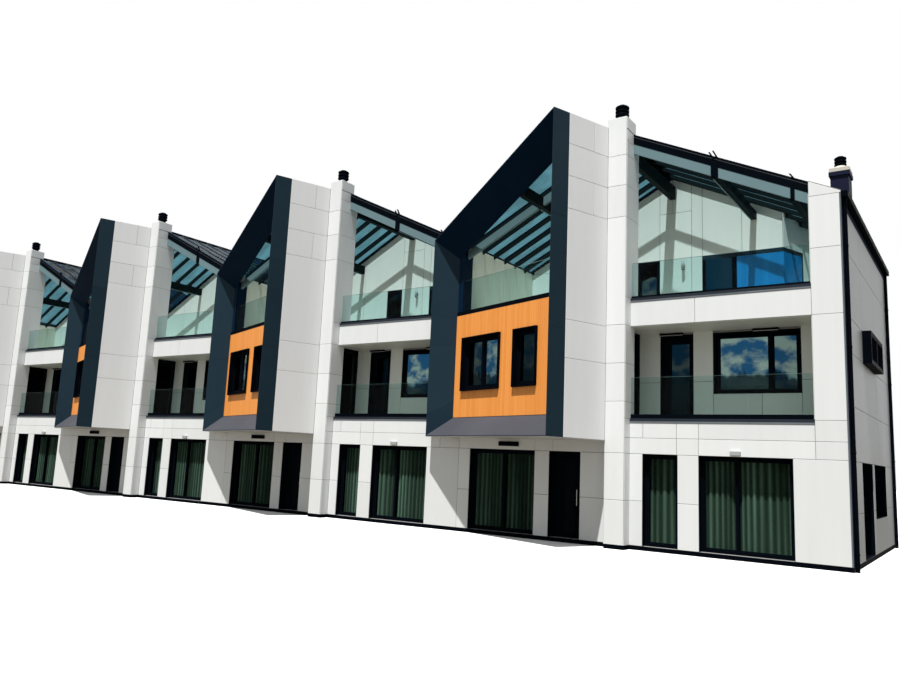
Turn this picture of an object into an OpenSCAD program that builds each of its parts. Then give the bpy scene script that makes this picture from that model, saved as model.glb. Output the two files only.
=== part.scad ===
// Terraced row of gabled houses, each with a turned bay, a loggia and a glass-roofed terrace.
// Lengths are in millimetres, Z is up and the front looks along -Y. In the working frame X = 0 is
// the outer face of the right-hand end wall, Y = 0 is the front wall's face and each house runs
// to the left of its own origin. The row is moved at the end so that it stands centred on Z.

/* [Row] */
// Number of houses in the row
units = 4; // [1:1:4]
// Width of one house
unit_w = 9670; // [8600:10:10800]
// Depth of the house from front face to rear face
depth = 7900; // [7000:50:9000]
// Height from one floor to the next
storey = 2860; // [2600:10:3200]
// Thickness of the front and rear walls
wall_t = 250; // [220:10:320]
// Thickness of the walls between houses and of the end wall
party_t = 300; // [240:10:360]
// Thickness of the ground slab
ground_slab = 100; // [60:10:140]
// Thickness of the first floor
first_slab = 340; // [280:10:380]
// Thickness of the top floor with its insulation
top_slab = 400; // [320:10:440]
// Height of the wall between the ground-floor windows and the first floor
lintel_h = 290; // [240:10:360]

/* [Roof] */
// Height of the eaves and valleys above the top floor
eave_h = 2325; // [2200:5:2600]
// Height of the ridge above the eaves
roof_rise = 2415; // [2150:5:2700]
// Share of a house's width to the right of its ridge
ridge_share = 0.5173; // [0.49:0.0001:0.54]
// Thickness of the roof, measured straight down
roof_t = 246; // [220:2:320]
// How far the roof's front edge stands back from the front wall's face
roof_inset = 150; // [40:10:240]
// Depth of the open terrace from the front face
terrace_d = 3860; // [3400:20:4300]
// Overhang of the roof at the rear
rear_over = 100; // [40:10:200]
// Thickness of the roof glass
roof_glass_t = 20; // [12:2:30]
// Width of a rafter
rafter_w = 60; // [40:5:90]
// Distance between rafters
rafter_gap = 620; // [500:10:800]
// Width of a purlin
purlin_w = 160; // [120:10:200]
// Depth of the ridge purlin
ridge_purlin_d = 418; // [300:2:460]
// Depth of the other purlins
purlin_d = 250; // [180:10:300]
// Thickness of the front beam under the roof edge
beam_t = 90; // [60:5:120]
// Height of the front beam
beam_h = 230; // [160:10:280]
// Width of the gutter at the end of the row
gutter_w = 140; // [110:5:180]
// Diameter of the downpipes
downpipe_d = 90; // [70:5:110]

/* [Chimney pier] */
// Width of the pier
pier_w = 494; // [440:2:560]
// How far the pier stands in front of the wall
pier_out = 326; // [280:2:380]
// Height of the pier above the ridge
pier_rise = 220; // [120:10:400]
// Width of the flue cowl
cowl_w = 355; // [280:5:400]
// Height of the flue cowl
cowl_h = 460; // [380:10:560]
// Size of the end stack's cowl, as a share of a pier's cowl
stack_cowl = 0.75; // [0.6:0.05:1]

/* [Turned bay] */
// Angle between the bay and the front wall
turn = 20.4; // [18:0.2:22]
// How far the bay reaches in front of the next house
bay_over = 913; // [800:1:1000]
// How far the bay's left corner stands in front of the wall
bay_near = 352.5; // [320:0.5:400]
// Thickness of the bay's flank and front walls
bay_t = 250; // [200:10:300]
// Depth of the dark frame round the bay's front
frame_d = 520; // [460:10:560]
// Height of the frame's top right corner above the ridge
frame_rise = 10; // [0:5:60]
// Height of the frame's top left corner above the eaves
frame_over = 120; // [60:5:200]
// Share of the splay that the frame's front edge keeps
frame_lip = 0.025; // [0.015:0.005:0.04]
// Width of the left jamb at the back of the frame
jamb_l = 580; // [500:10:640]
// Width of the right jamb at the back of the frame
jamb_r = 480; // [400:10:540]
// Height of the sill at the back of the frame
frame_sill = 536; // [480:4:600]
// Height of the sloping head at the back of the frame
frame_head = 850; // [800:10:980]
// Share of the frame's opening to the left of the wide window
wide_left = 0.0891; // [0.07:0.0001:0.11]
// Share of the frame's opening that the wide window takes
wide_part = 0.4198; // [0.38:0.0001:0.44]
// Share of the frame's opening to the left of the narrow window
narrow_left = 0.6514; // [0.62:0.0001:0.68]
// Share of the frame's opening that the narrow window takes
narrow_part = 0.2277; // [0.2:0.0001:0.25]
// Height of the bay windows
bay_win_h = 1480; // [1380:10:1520]
// Height of the bay window sills above the floor
bay_win_sill = 910; // [860:10:960]
// How far the window boxes stand out of the bay wall
box_out = 90; // [60:5:120]

/* [Right-hand bay] */
// Width of the end pier
end_pier_w = 646; // [560:2:720]
// Height of the wall under the balcony coping, above the floor
balcony_up = 103; // [80:1:140]
// Height of the wall under the terrace coping, above the floor
terrace_up = 200; // [140:5:260]
// Thickness of the copings
coping_t = 100; // [60:5:130]
// How far a coping stands out of the wall
coping_out = 20; // [10:2:40]
// Height of the terrace's balustrade glass above its coping
glass_h = 900; // [800:10:1100]
// Height of the balcony's balustrade glass above its coping
balcony_glass_h = 1000; // [900:10:1100]
// Thickness of the balustrade glass
glass_t = 20; // [12:2:30]
// Depth of the loggia
loggia_d = 1209; // [1100:1:1400]
// Distance from the loggia's left wall to the pier's right face
loggia_step = 220; // [180:5:240]
// Share of the right-hand bay to the left of its narrow openings
narrow_x = 0.08; // [0.05:0.0001:0.11]
// Share of the right-hand bay that the narrow openings take
narrow_wx = 0.204; // [0.18:0.0001:0.23]
// Share of the right-hand bay to the left of its wide windows
wide_x = 0.402; // [0.37:0.0001:0.43]
// Share of the right-hand bay that the wide windows take
wide_wx = 0.4882; // [0.45:0.0001:0.52]
// Height of the loggia window's sill above the floor
loggia_sill = 897; // [840:1:960]

/* [Under the bay] */
// Share of the front under the bay to the left of its window
patio_x = 0.0826; // [0.07:0.0001:0.1]
// Share of the front under the bay that the window takes
patio_wx = 0.4504; // [0.42:0.0001:0.48]
// Share of the front under the bay to the left of the front door
door_x = 0.6275; // [0.6:0.0001:0.65]
// Width of the front door's opening
door_w = 864; // [820:2:900]

/* [Doors and windows] */
// Width of a window frame's members
frame_w = 70; // [50:5:90]
// Depth of a window frame
frame_t = 90; // [70:5:110]
// Thickness of the window glass
pane_t = 24; // [16:2:30]
// Thickness of a door leaf
leaf_t = 60; // [45:5:70]
// Gap round a door leaf
leaf_gap = 10; // [8:1:14]
// Radius of a hinge's barrel
hinge_r = 7; // [5:0.5:8]
// Distance from a door's inner face to its hinge line
hinge_back = 12; // [12:1:16]
// Height of one half of a hinge
hinge_h = 60; // [45:5:80]

/* [End wall] */
// Distance from the front face to the end door
end_door_y = 1716; // [1650:2:1800]
// Width of the end door's leaf opening
end_door_w = 1000; // [900:10:1050]
// Width of the fixed light beside the end door
side_light_w = 800; // [700:10:850]
// Distance from the front face to the end window
end_win_y = 3860; // [3760:10:3960]
// Width of the end window
end_win_w = 2400; // [2200:10:2500]
// Height of the end window
end_win_h = 1310; // [1230:10:1400]
// Distance from the front face to the upper end window
upper_win_y = 2500; // [2400:10:2600]
// Width of the upper end window
upper_win_w = 2300; // [2100:10:2400]
// Height of the upper end window's sill above the floor
upper_sill = 1700; // [1500:10:1700]
// Height of the upper end window
upper_win_h = 780; // [700:10:860]
// How far the upper end window's box stands out
upper_box_out = 200; // [150:5:240]
// Width of the end stack
stack_w = 390; // [340:5:440]
// Depth of the end stack
stack_d = 480; // [420:5:540]
// Distance from the front face to the end stack
stack_y = 1330; // [1200:10:1500]
// Height of the end stack above the eaves
stack_rise = 905; // [800:5:1100]

/* [Rear wall] */
// Width of a rear window
rear_win_w = 1600; // [1300:20:1800]
// Height of a rear window
rear_win_h = 1200; // [1000:20:1220]
// Height of a rear window's sill above its floor
rear_sill = 800; // [740:10:815]

/* [Small parts] */
// Thickness of the dark trim at the foot of the walls
trim_t = 12; // [8:1:20]
// Depth of the wall lights
light_d = 70; // [50:5:100]
// Diameter of the terrace lamp
lamp_d = 90; // [70:5:110]
// Thickness of a curtain
curtain_t = 60; // [40:5:80]

/* [Hidden] */

// Heights of the upper floors, their undersides and the roof's
first_z = storey;
top_z = 2 * storey;
bay_sill_z = first_z - first_slab;
head_z = bay_sill_z - lintel_h;
loggia_top = top_z - top_slab;
balcony_top = first_z + balcony_up;
terrace_top = top_z + terrace_up;
eave_z = top_z + eave_h;
ridge_z = eave_z + roof_rise;
under_eave = eave_z - roof_t;
// Places along one house, X measured from its right edge
ridge_x = round(unit_w * ridge_share);
pier_l = -ridge_x - pier_w / 2;
pier_r = -ridge_x + pier_w / 2;
bay_r = -end_pier_w;
slope_r = roof_rise / ridge_x;
slope_l = roof_rise / (unit_w - ridge_x);
// The bay's right flank and its front, from the pier's corner and the bay's left corner
bay_reach = [unit_w + bay_over + pier_l, pier_out - bay_near];
flank_l = bay_reach * [sin(turn), -cos(turn)];
bay_w = bay_reach * [cos(turn), sin(turn)];
bay_fr = [pier_l - flank_l * sin(turn), -pier_out - flank_l * cos(turn)];
bay_fl = bay_fr - bay_w * [cos(turn), -sin(turn)];
frame_high = ridge_z + frame_rise;
frame_low = eave_z + frame_over;
frame_slope = (frame_high - frame_low) / bay_w;
// Purlins as shares of the way from the ridge's foot to the right edge, and halfway to the left
purlin_xs = -ridge_x * [0.543, 0.198];
left_purlin_x = -(ridge_x + unit_w) / 2;
// Flashings, seams and other thin edges, and the least gap between pieces that meet
edge = 30;
hairline = 0.3;
bay_face = frame_d + hairline;
seam = 1;
skin = 10;
valley_w = 120;
gutter_h = 130;
end_parapet = 120;
pier_back = 464;
curb = 60;
// Terrace back wall: its corner, its turned return and its openings, with places along the
// house as shares of its width
corner_x = -round(unit_w * 0.2037);
return_l = 1500;
return_win_from = 108;
return_win_to = 930;
top_door_x = -round(unit_w * 0.628);
top_door_w = 680;
top_win_x = -round(unit_w * 0.429);
top_head_h = 2260;
top_head_z = top_z + top_head_h;
top_bar = 0.422;
// Upright bars of the windows as shares of their widths
mid_bar = 0.5;
ground_bar = 0.4;
loggia_bar = 0.67;
// Loggia: its left side and the heads of its openings
loggia_l = pier_r - loggia_step;
loggia_head = loggia_top - curb;
// Extents of the row, used to centre it
x_left = bay_fl[0] - (units - 1) * unit_w;
x_right = upper_box_out;
y_front = bay_fr[1];
y_rear = depth + rear_over;
big = 30000;

module placed() translate([-(x_left + x_right) / 2, -(y_front + y_rear) / 2, 0]) children();
module each_house() for (i = [0:units - 1]) let($house = i) translate([-i * unit_w, 0, 0]) children();
// A block given by two opposite corners
module block(a, b) translate(a) cube(b - a);
// An outline in X and Z, pushed back in Y from y0 to y1
module along_y(y0, y1) translate([0, y1, 0]) rotate([90, 0, 0]) linear_extrude(y1 - y0) children();
module raised(z0, z1) translate([0, 0, z0]) linear_extrude(z1 - z0) children();
// The bay's own frame: its front runs from X = 0 at the right to -bay_w, and Y runs inwards
module turned() translate([bay_fr[0], bay_fr[1], 0]) rotate(-turn) children();
function turned_pt(s, d) = bay_fr + s * [cos(turn), -sin(turn)] + d * [sin(turn), cos(turn)];
function roof_z(x) = x > -ridge_x ? ridge_z - slope_r * (x + ridge_x) : ridge_z + slope_l * (x + ridge_x);

// The roof's section from drop0 to drop1 below its top surface, with a seam at the ridge and
// room for the valley gutter between two houses
module roof_section(drop0, drop1) {
    eave = $house > 0 ? -valley_w : 0;
    for (ends = [[seam - ridge_x, eave], [-unit_w, -ridge_x - seam]])
        polygon([[ends[0], roof_z(ends[0]) - drop0], [ends[1], roof_z(ends[1]) - drop0],
                 [ends[1], roof_z(ends[1]) - drop1], [ends[0], roof_z(ends[0]) - drop1]]);
}
// Everything in one house below the roof's underside
module under_roof() translate([0, 0, -hairline]) along_y(-big, big) polygon([
    [big, -big], [big, under_eave], [0, under_eave], [-ridge_x, ridge_z - roof_t],
    [-unit_w, under_eave], [-big, under_eave], [-big, -big]]);

module pier_plan() translate([pier_l, -pier_out]) square([pier_w, pier_out + wall_t]);
// The corner of the flank's inner face beside the pier
flank_corner = [pier_l - bay_t, turned_pt(-bay_t, flank_l + bay_t * (cos(turn) - 1) / sin(turn))[1]];
module flank_plan() polygon([
    turned_pt(0, bay_face), turned_pt(0, flank_l), [pier_l, wall_t], [pier_l - bay_t, wall_t],
    flank_corner, turned_pt(-bay_t, bay_face)]);
// The bay behind its frame, as far back as the front wall's inner face
module bay_plan() intersection() {
    translate([-unit_w, -big]) square([unit_w, 2 * big]);
    polygon([turned_pt(-bay_t, bay_face), flank_corner, [pier_l - bay_t, wall_t], [-unit_w, wall_t],
             turned_pt(-bay_w - bay_t, bay_face)]);
}
module terrace_plan() {
    translate([-unit_w, wall_t]) square([unit_w, terrace_d - wall_t]);
    translate([pier_r, roof_inset]) square([bay_r - pier_r, wall_t - roof_inset]);
    bay_plan();
    recess_plan();
}
// The open floor behind the terrace wall's line, beside its turned return
module recess_plan() polygon([[corner_x, terrace_d], return_end, [0, return_end[1]], [0, terrace_d]]);

// Fixed frame in X and Z, its outer corner at the origin, with upright bars at the given shares
// of its width
function bar_xs(w, bars) = [for (b = bars) round(b * w)];
module frame_x(w, h, bars = []) {
    difference() {
        cube([w, frame_t, h]);
        translate([frame_w, -1, frame_w]) cube([w - 2 * frame_w, frame_t + 2, h - 2 * frame_w]);
    }
    for (x = bar_xs(w, bars))
        translate([x - frame_w / 2, 0, frame_w]) cube([frame_w, frame_t, h - 2 * frame_w]);
}
// Glass that fills such a frame between its bars
module panes_x(w, h, bars = []) {
    edges = concat([frame_w / 2], bar_xs(w, bars), [w - frame_w / 2]);
    for (k = [0:len(edges) - 2])
        translate([edges[k] + frame_w / 2, (frame_t - pane_t) / 2, frame_w])
            cube([edges[k + 1] - edges[k] - frame_w, pane_t, h - 2 * frame_w]);
}
// A frame or, with glass true, the panes that fill it
module window_x(glass, w, h, bars = []) if (glass) panes_x(w, h, bars); else frame_x(w, h, bars);
// The same in Y and Z, on a wall that runs in depth
module turn_to_y() rotate(90) mirror([0, 1, 0]) children();

// Openings along the front as left edge and width
left_part = unit_w + pier_l;
right_part = bay_r - pier_r;
patio = [round(patio_x * left_part) - unit_w, round(patio_wx * left_part)];
door = [round(door_x * left_part) - unit_w, door_w];
narrow = [pier_r + round(narrow_x * right_part), round(narrow_wx * right_part)];
wide = [pier_r + round(wide_x * right_part), round(wide_wx * right_part)];
function posts(from, to, gaps) = let(n = len(gaps))
    [for (k = [0:n]) [k == 0 ? from : gaps[k - 1][0] + gaps[k - 1][1], k == n ? to : gaps[k][0]]];
front_posts = concat(posts(-unit_w, pier_l, [patio, door]), posts(pier_r, bay_r, [narrow, wide]));
end_opening = end_door_w + side_light_w;
door_h = head_z - ground_slab;
hinge_flap = 40;
hinge_heights = [0.1, 0.47, 0.84];
// Rear openings of one house as left edge, sill, width and height, with the left edges as
// shares of the house's width
rear_ground = [
    [-round(unit_w * 0.92), ground_slab, end_door_w, door_h],
    [-round(unit_w * 0.714), head_z - rear_win_h, rear_win_w, rear_win_h],
    [-round(unit_w * 0.3), ground_slab, rear_win_w, door_h]];
rear_upper = [for (p = [[0.869, first_z], [0.6, first_z], [0.3, first_z], [0.6, top_z]])
    [-round(unit_w * p[0]), p[1] + rear_sill, rear_win_w, rear_win_h]];

module floors() color("gray") placed() {
    each_house() {
        for (s = [[0, ground_slab], [bay_sill_z, first_z], [loggia_top, top_z]])
            block([-unit_w, wall_t, s[0]], [-party_t, depth - wall_t, s[1]]);
        block([-unit_w, 0, 0], [pier_l, wall_t, ground_slab]);
        block([pier_r, 0, 0], [bay_r, wall_t, ground_slab]);
    }
    block([-party_t, end_door_y, 0], [0, end_door_y + end_opening, ground_slab]);
}
module bay_floors() color("gray") placed() each_house() {
    raised(bay_sill_z, first_z) bay_plan();
    difference() {
        raised(loggia_top, top_z) bay_plan();
        turned() block([-bay_w, 0, 0], [0, frame_d + bay_t + hairline, big]);
    }
}

module ground_walls() color("white") placed() {
    each_house() for (p = front_posts) block([p[0], 0, ground_slab], [p[1], wall_t, head_z]);
    block([-party_t, wall_t, 0], [0, end_door_y, head_z]);
    difference() {
        block([-party_t, end_door_y + end_opening, 0], [0, depth - wall_t, head_z]);
        block([-big, end_win_y, head_z - end_win_h], [1, end_win_y + end_win_w, big]);
    }
}
module front_bands() color("white") placed() each_house() {
    block([-unit_w, 0, head_z], [pier_l, wall_t, bay_sill_z]);
    block([pier_r, 0, head_z], [bay_r, wall_t, balcony_top]);
    block([pier_r, 0, loggia_top], [bay_r, wall_t, terrace_top]);
}
// The wall at the left end of the row also covers the last roof edge
module party_walls() color("white") placed() {
    for (i = [1:1:units - 1]) translate([-i * unit_w, 0, 0]) intersection() {
        block([-party_t, wall_t, 0], [0, depth - wall_t, big]);
        under_roof();
    }
    block([-units * unit_w - party_t, 0, 0], [-units * unit_w, y_rear, eave_z + end_parapet]);
}
module end_wall() color("white") placed() difference() {
    intersection() {
        block([-party_t, wall_t, head_z], [0, depth - wall_t, big]);
        under_roof();
    }
    block([-big, upper_win_y, first_z + upper_sill],
          [1, upper_win_y + upper_win_w, first_z + upper_sill + upper_win_h]);
}
module rear_walls() color("white") placed() each_house() difference() {
    block([-unit_w, depth - wall_t, 0], [0, depth, under_eave]);
    for (o = concat(rear_ground, rear_upper)) block([o[0], 0, o[1]], [o[0] + o[2], big, o[1] + o[3]]);
}
module rear_gables() color("white") placed() each_house() intersection() {
    block([seam - unit_w, depth - wall_t, under_eave], [-seam, depth, big]);
    under_roof();
}
module end_piers() color("white") placed() each_house()
    along_y(0, wall_t) polygon([[0, 0], [0, roof_z(0)], [bay_r, roof_z(bay_r)], [bay_r, 0]]);

// On the terrace the pier reaches further back, up to the roof
module chimney_piers() color("white") placed() each_house() {
    raised(0, ridge_z + pier_rise) pier_plan();
    intersection() {
        block([pier_l, wall_t, top_z], [pier_r, pier_back, big]);
        under_roof();
    }
}
// A pipe with stacked rings under its top
cowl_rings = [0.35, 0.57, 0.79];
cowl_ring_h = 46;
cowl_core = 284;
module cowl() {
    cylinder(d = cowl_core, h = cowl_h);
    for (k = cowl_rings) translate([0, 0, cowl_h * k]) cylinder(d = cowl_w, h = cowl_ring_h);
}
module flue_cowls() color("black") placed() {
    each_house() translate([-ridge_x, (wall_t - pier_out) / 2, ridge_z + pier_rise]) cowl();
    translate([-stack_w / 2, stack_y + stack_d / 2, eave_z + stack_rise]) scale(stack_cowl) cowl();
}

// The part of the next house's bay that stands in front of this house
module next_bay() if ($house > 0) intersection() {
    translate([unit_w, 0, 0]) turned() block([-bay_w, 0, 0], [0, big, big]);
    block([-big, -big, 0], [big, 0, big]);
}
// Keeps what lies to the right of the house's left edge
module within_house(x = -unit_w) intersection() {
    children();
    block([x, -big, 0], [big, big, big]);
}
module copings() color("black") placed() each_house() {
    for (z = [balcony_top, terrace_top]) difference() {
        block([pier_r, -coping_out, z], [bay_r, wall_t, z + coping_t]);
        next_bay();
    }
    within_house() turned() translate([0, 0, terrace_top]) {
        block([jamb_l - bay_w, bay_face, 0], [-bay_t - hairline, frame_d + bay_t, coping_t]);
        block([jamb_l - bay_w, frame_d - coping_out, 0], [-jamb_r, bay_face, coping_t]);
    }
}
// Glass on the copings, set back from their front edges
module balustrades() color("lightblue") placed() each_house() {
    for (b = [[balcony_top, balcony_glass_h], [terrace_top, glass_h]])
        translate([pier_r + skin, 2 * glass_t, b[0] + coping_t])
            cube([bay_r - pier_r - 2 * skin, glass_t, b[1]]);
    within_house(edge - unit_w) turned() translate([0, frame_d + 3 * glass_t, terrace_top + coping_t])
        block([-bay_w, 0, 0], [-bay_t - skin, glass_t, glass_h]);
}

module loggia_walls() color("white") placed() each_house() difference() {
    block([loggia_l - wall_t, loggia_d, first_z], [-party_t, loggia_d + wall_t, loggia_top]);
    block([narrow[0], 0, first_z - 1], [narrow[0] + narrow[1], big, loggia_head]);
    block([wide[0], 0, first_z + loggia_sill], [wide[0] + wide[1], big, loggia_head]);
}

module bay_flanks() color("white") placed() each_house() raised(bay_sill_z, frame_high) flank_plan();
// Corners of the bay's frame, from the lower left round to the upper left: outside, then the
// opening at the back and the slightly smaller splay at the front
frame_outer = [[-bay_w, bay_sill_z], [0, bay_sill_z], [0, frame_high], [-bay_w, frame_low]];
frame_back = frame_outer + [[jamb_l, frame_sill], [-jamb_r, frame_sill],
    [-jamb_r, -jamb_r * frame_slope - frame_head], [jamb_l, jamb_l * frame_slope - frame_head]];
frame_front = frame_outer + frame_lip * (frame_back - frame_outer);
// One side of the splayed frame between corners a and b, drawn in by the given gap at both
// mitres and cut where it meets the front wall
module frame_side(a, b, gap) difference() {
    front = [frame_outer[a], frame_outer[b], frame_front[b], frame_front[a]];
    back = [frame_outer[a], frame_outer[b], frame_back[b], frame_back[a]];
    shift = sign(frame_outer[b][0] - frame_outer[a][0]) * gap * [1, -1, -1, 1];
    turned() polyhedron(
        concat([for (k = [0:3]) [front[k][0] + shift[k], 0, front[k][1]]],
               [for (k = [0:3]) [back[k][0] + shift[k], frame_d, back[k][1]]]),
        [[3, 2, 1, 0], [4, 5, 6, 7], [0, 1, 5, 4], [1, 2, 6, 5], [2, 3, 7, 6], [3, 0, 4, 7]]);
    block([-big, 0, 0], [0, big, big]);
}
module bay_jambs() color("midnightblue") placed() each_house() {
    frame_side(3, 0, 0);
    frame_side(1, 2, 0);
}
module bay_rails() color("midnightblue") placed() each_house() {
    frame_side(0, 1, hairline);
    frame_side(2, 3, hairline);
}
bay_opening = bay_w - jamb_l - jamb_r;
bay_wide = [jamb_l - bay_w + wide_left * bay_opening, wide_part * bay_opening];
bay_narrow = [jamb_l - bay_w + narrow_left * bay_opening, narrow_part * bay_opening];
bay_windows = [[bay_wide[0], bay_wide[1], [mid_bar]], [bay_narrow[0], bay_narrow[1], []]];
bay_win_z = first_z + bay_win_sill;
module bay_walls() color("darkorange") placed() each_house() difference() {
    within_house() turned() difference() {
        block([-bay_w, bay_face, first_z + hairline], [-bay_t, frame_d + bay_t, terrace_top]);
        for (w = bay_windows) block([w[0] - hairline, 0, bay_win_z - hairline],
            [w[0] + w[1] + hairline, big, bay_win_z + bay_win_h + hairline]);
    }
    raised(0, big) flank_plan();
}
// Dark lining between the frame and the terrace's left wall
module bay_returns() color("midnightblue") placed() each_house() intersection() {
    raised(terrace_top + coping_t, big) difference() {
        intersection() {
            polygon([turned_pt(-bay_w, bay_face), turned_pt(0, bay_face),
                     turned_pt(0, big), turned_pt(-bay_w, big)]);
            translate([-unit_w - end_pier_w, -big]) square([end_pier_w + edge - skin, big + wall_t + edge]);
        }
        translate([-unit_w - big, 0]) square([big, big]);
    }
    under_roof();
}
module bay_window_boxes() color("black") placed() each_house() turned() for (w = bay_windows)
    translate([w[0], frame_d - box_out, bay_win_z]) difference() {
        cube([w[1], box_out + bay_t, bay_win_h]);
        translate([frame_w / 2, -1, frame_w / 2]) cube([w[1] - frame_w, big, bay_win_h - frame_w]);
    }

// Mitre of the terrace wall at its corner, and the far end of the turned return
mitre = wall_t * (1 - sin(turn)) / cos(turn);
return_end = [corner_x + return_l * sin(turn), terrace_d + return_l * cos(turn)];
module terrace_walls() color("wheat") placed() each_house() difference() {
    intersection() {
        raised(top_z, big) {
            polygon([[-unit_w, terrace_d], [corner_x, terrace_d], [corner_x - mitre, terrace_d + wall_t],
                     [-unit_w, terrace_d + wall_t]]);
            polygon([return_end, [-party_t, return_end[1]], [-party_t, return_end[1] + wall_t],
                     return_end + [-mitre, wall_t]]);
        }
        under_roof();
    }
    block([top_door_x, 0, top_z - 1], [top_door_x + top_door_w, big, top_head_z]);
    block([top_win_x, 0, top_z + curb], [corner_x - frame_w, terrace_d + wall_t + 1, top_head_z]);
}
module terrace_returns() color("wheat") placed() each_house() difference() {
    intersection() {
        raised(top_z, big) polygon([[corner_x, terrace_d], return_end, return_end + [-mitre, wall_t],
                                    [corner_x - mitre, terrace_d + wall_t]]);
        under_roof();
    }
    translate([corner_x, terrace_d, top_z + curb]) rotate(-turn)
        block([-2 * wall_t, return_win_from, 0], [1, return_win_to, top_head_z - top_z - curb]);
}

module ground_windows(glass) {
    each_house() translate([0, wall_t - frame_t, ground_slab]) {
        translate([narrow[0], 0, 0]) window_x(glass, narrow[1], door_h);
        translate([wide[0], 0, 0]) window_x(glass, wide[1], door_h, [ground_bar]);
        translate([patio[0], 0, 0]) window_x(glass, patio[1], door_h, [mid_bar]);
    }
    translate([-party_t, end_door_y + end_door_w, ground_slab]) turn_to_y()
        window_x(glass, side_light_w, door_h);
    translate([-party_t, end_win_y, head_z - end_win_h]) turn_to_y()
        window_x(glass, end_win_w, end_win_h, [mid_bar]);
    rear_windows(glass, rear_ground);
}
module rear_windows(glass, openings) each_house() for (o = openings)
    translate([o[0], depth - wall_t, o[1]]) window_x(glass, o[2], o[3]);
module upper_windows(glass) {
    each_house() {
        translate([narrow[0], loggia_d, first_z]) window_x(glass, narrow[1], loggia_head - first_z);
        translate([wide[0], loggia_d, first_z + loggia_sill])
            window_x(glass, wide[1], loggia_head - first_z - loggia_sill, [loggia_bar]);
        translate([loggia_l - frame_t, wall_t, first_z]) turn_to_y()
            window_x(glass, loggia_d - wall_t, loggia_top - first_z);
        turned() for (w = bay_windows)
            translate([w[0] + frame_w / 2, frame_d + curb, bay_win_z + frame_w / 2])
                window_x(glass, w[1] - frame_w, bay_win_h - frame_w, w[2]);
        translate([top_door_x, terrace_d, top_z]) window_x(glass, top_door_w, top_head_z - top_z);
        translate([top_win_x, terrace_d, top_z + curb])
            window_x(glass, corner_x - frame_w - top_win_x, top_head_z - top_z - curb, [top_bar]);
        translate([corner_x, terrace_d, top_z + curb]) rotate(-turn)
            translate([-frame_t, return_win_from, 0]) turn_to_y()
                window_x(glass, return_win_to - return_win_from, top_head_z - top_z - curb);
    }
    rear_windows(glass, rear_upper);
}
module ground_frames() color("black") placed() ground_windows(false);
module ground_glass() color("slategray") placed() ground_windows(true);
// The upper end window sits in a box that stands out of the wall
module upper_frames() color("black") placed() {
    upper_windows(false);
    translate([-party_t, upper_win_y, first_z + upper_sill]) difference() {
        cube([party_t + upper_box_out, upper_win_w, upper_win_h]);
        translate([-1, frame_w, frame_w]) cube([big, upper_win_w - 2 * frame_w, upper_win_h - 2 * frame_w]);
    }
}
module upper_glass() color("slategray") placed() {
    upper_windows(true);
    translate([upper_box_out - 2 * pane_t, upper_win_y + frame_w, first_z + upper_sill + frame_w])
        cube([pane_t, upper_win_w - 2 * frame_w, upper_win_h - 2 * frame_w]);
}
// A door's fixed frame has no member across its foot
module door_frame_x(w, h) difference() {
    cube([w, frame_t, h]);
    translate([frame_w, -1, -1]) cube([w - 2 * frame_w, frame_t + 2, h - frame_w + 1]);
}
module at_front_door() translate([door[0], wall_t - frame_t, ground_slab]) children();
module at_end_door() translate([frame_t - party_t, end_door_y, ground_slab]) rotate(90) children();
module door_frames() color("black") placed() {
    each_house() at_front_door() door_frame_x(door_w, door_h);
    at_end_door() door_frame_x(end_door_w, door_h);
}
// Lift-off hinges: each has a lower half on the frame and an upper half on the leaf
module at_hinges() for (k = hinge_heights)
    translate([frame_w + leaf_gap / 2, frame_t + hinge_back, door_h * k]) children();
module hinge_half(side) {
    cylinder(r = hinge_r, h = hinge_h);
    translate([min(0, side * hinge_flap), -hinge_back, 0])
        cube([hinge_flap, hinge_back - hinge_r / 2, hinge_h]);
}
module door_hinges() color("black") placed() {
    each_house() at_front_door() at_hinges() hinge_half(-1);
    at_end_door() at_hinges() hinge_half(-1);
}

module stack_plan() translate([-stack_w, stack_y]) square([stack_w, stack_d]);
module clear_of_stack() difference() {
    children();
    raised(0, big) stack_plan();
}
module roof_slabs() color("dimgray") placed() each_house() difference() {
    along_y(terrace_d, y_rear) roof_section(0, roof_t);
    raised(top_z, big) offset(delta = hairline) recess_plan();
}
module rafters() color("darkslategray") placed() clear_of_stack() each_house() intersection() {
    for (y = [roof_inset + skin : rafter_gap : return_end[1] - rafter_w])
        along_y(y, y + rafter_w) roof_section(roof_glass_t, roof_t);
    raised(top_z, big) terrace_plan();
}
module roof_glass() color("teal") placed() clear_of_stack() each_house() intersection() {
    along_y(-big, return_end[1]) roof_section(0, roof_glass_t);
    raised(top_z, big) terrace_plan();
}
// A purlin of height h under the rafters at x, from y0 back to the wall
module purlin(x, h, y0) intersection() {
    block([x - purlin_w / 2, y0, roof_z(x) - roof_t - h],
          [x + purlin_w / 2, x > corner_x ? return_end[1] : terrace_d, big]);
    under_roof();
}
module purlins() color("dimgray") placed() each_house() {
    purlin(-ridge_x, ridge_purlin_d, pier_back);
    for (x = purlin_xs) purlin(x, purlin_d, roof_inset + beam_t);
    intersection() {
        purlin(left_purlin_x, purlin_d, -big);
        raised(top_z, big) terrace_plan();
    }
}
// A beam along the roof's front edge, on the left between the bay's sides and round its purlin
module fascia_beams() color("silver") placed() each_house() difference() {
    for (part = [[edge - unit_w, pier_l - bay_t - hairline, 0], [pier_r, bay_r, roof_inset]]) intersection() {
        along_y(part[2], part[2] + beam_t) roof_section(roof_t, roof_t + beam_h);
        block([part[0], -1, 0], [part[1], big, big]);
    }
    translate([left_purlin_x - purlin_w / 2 - hairline, -1]) cube([purlin_w + 2 * hairline, big, big]);
}
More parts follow.
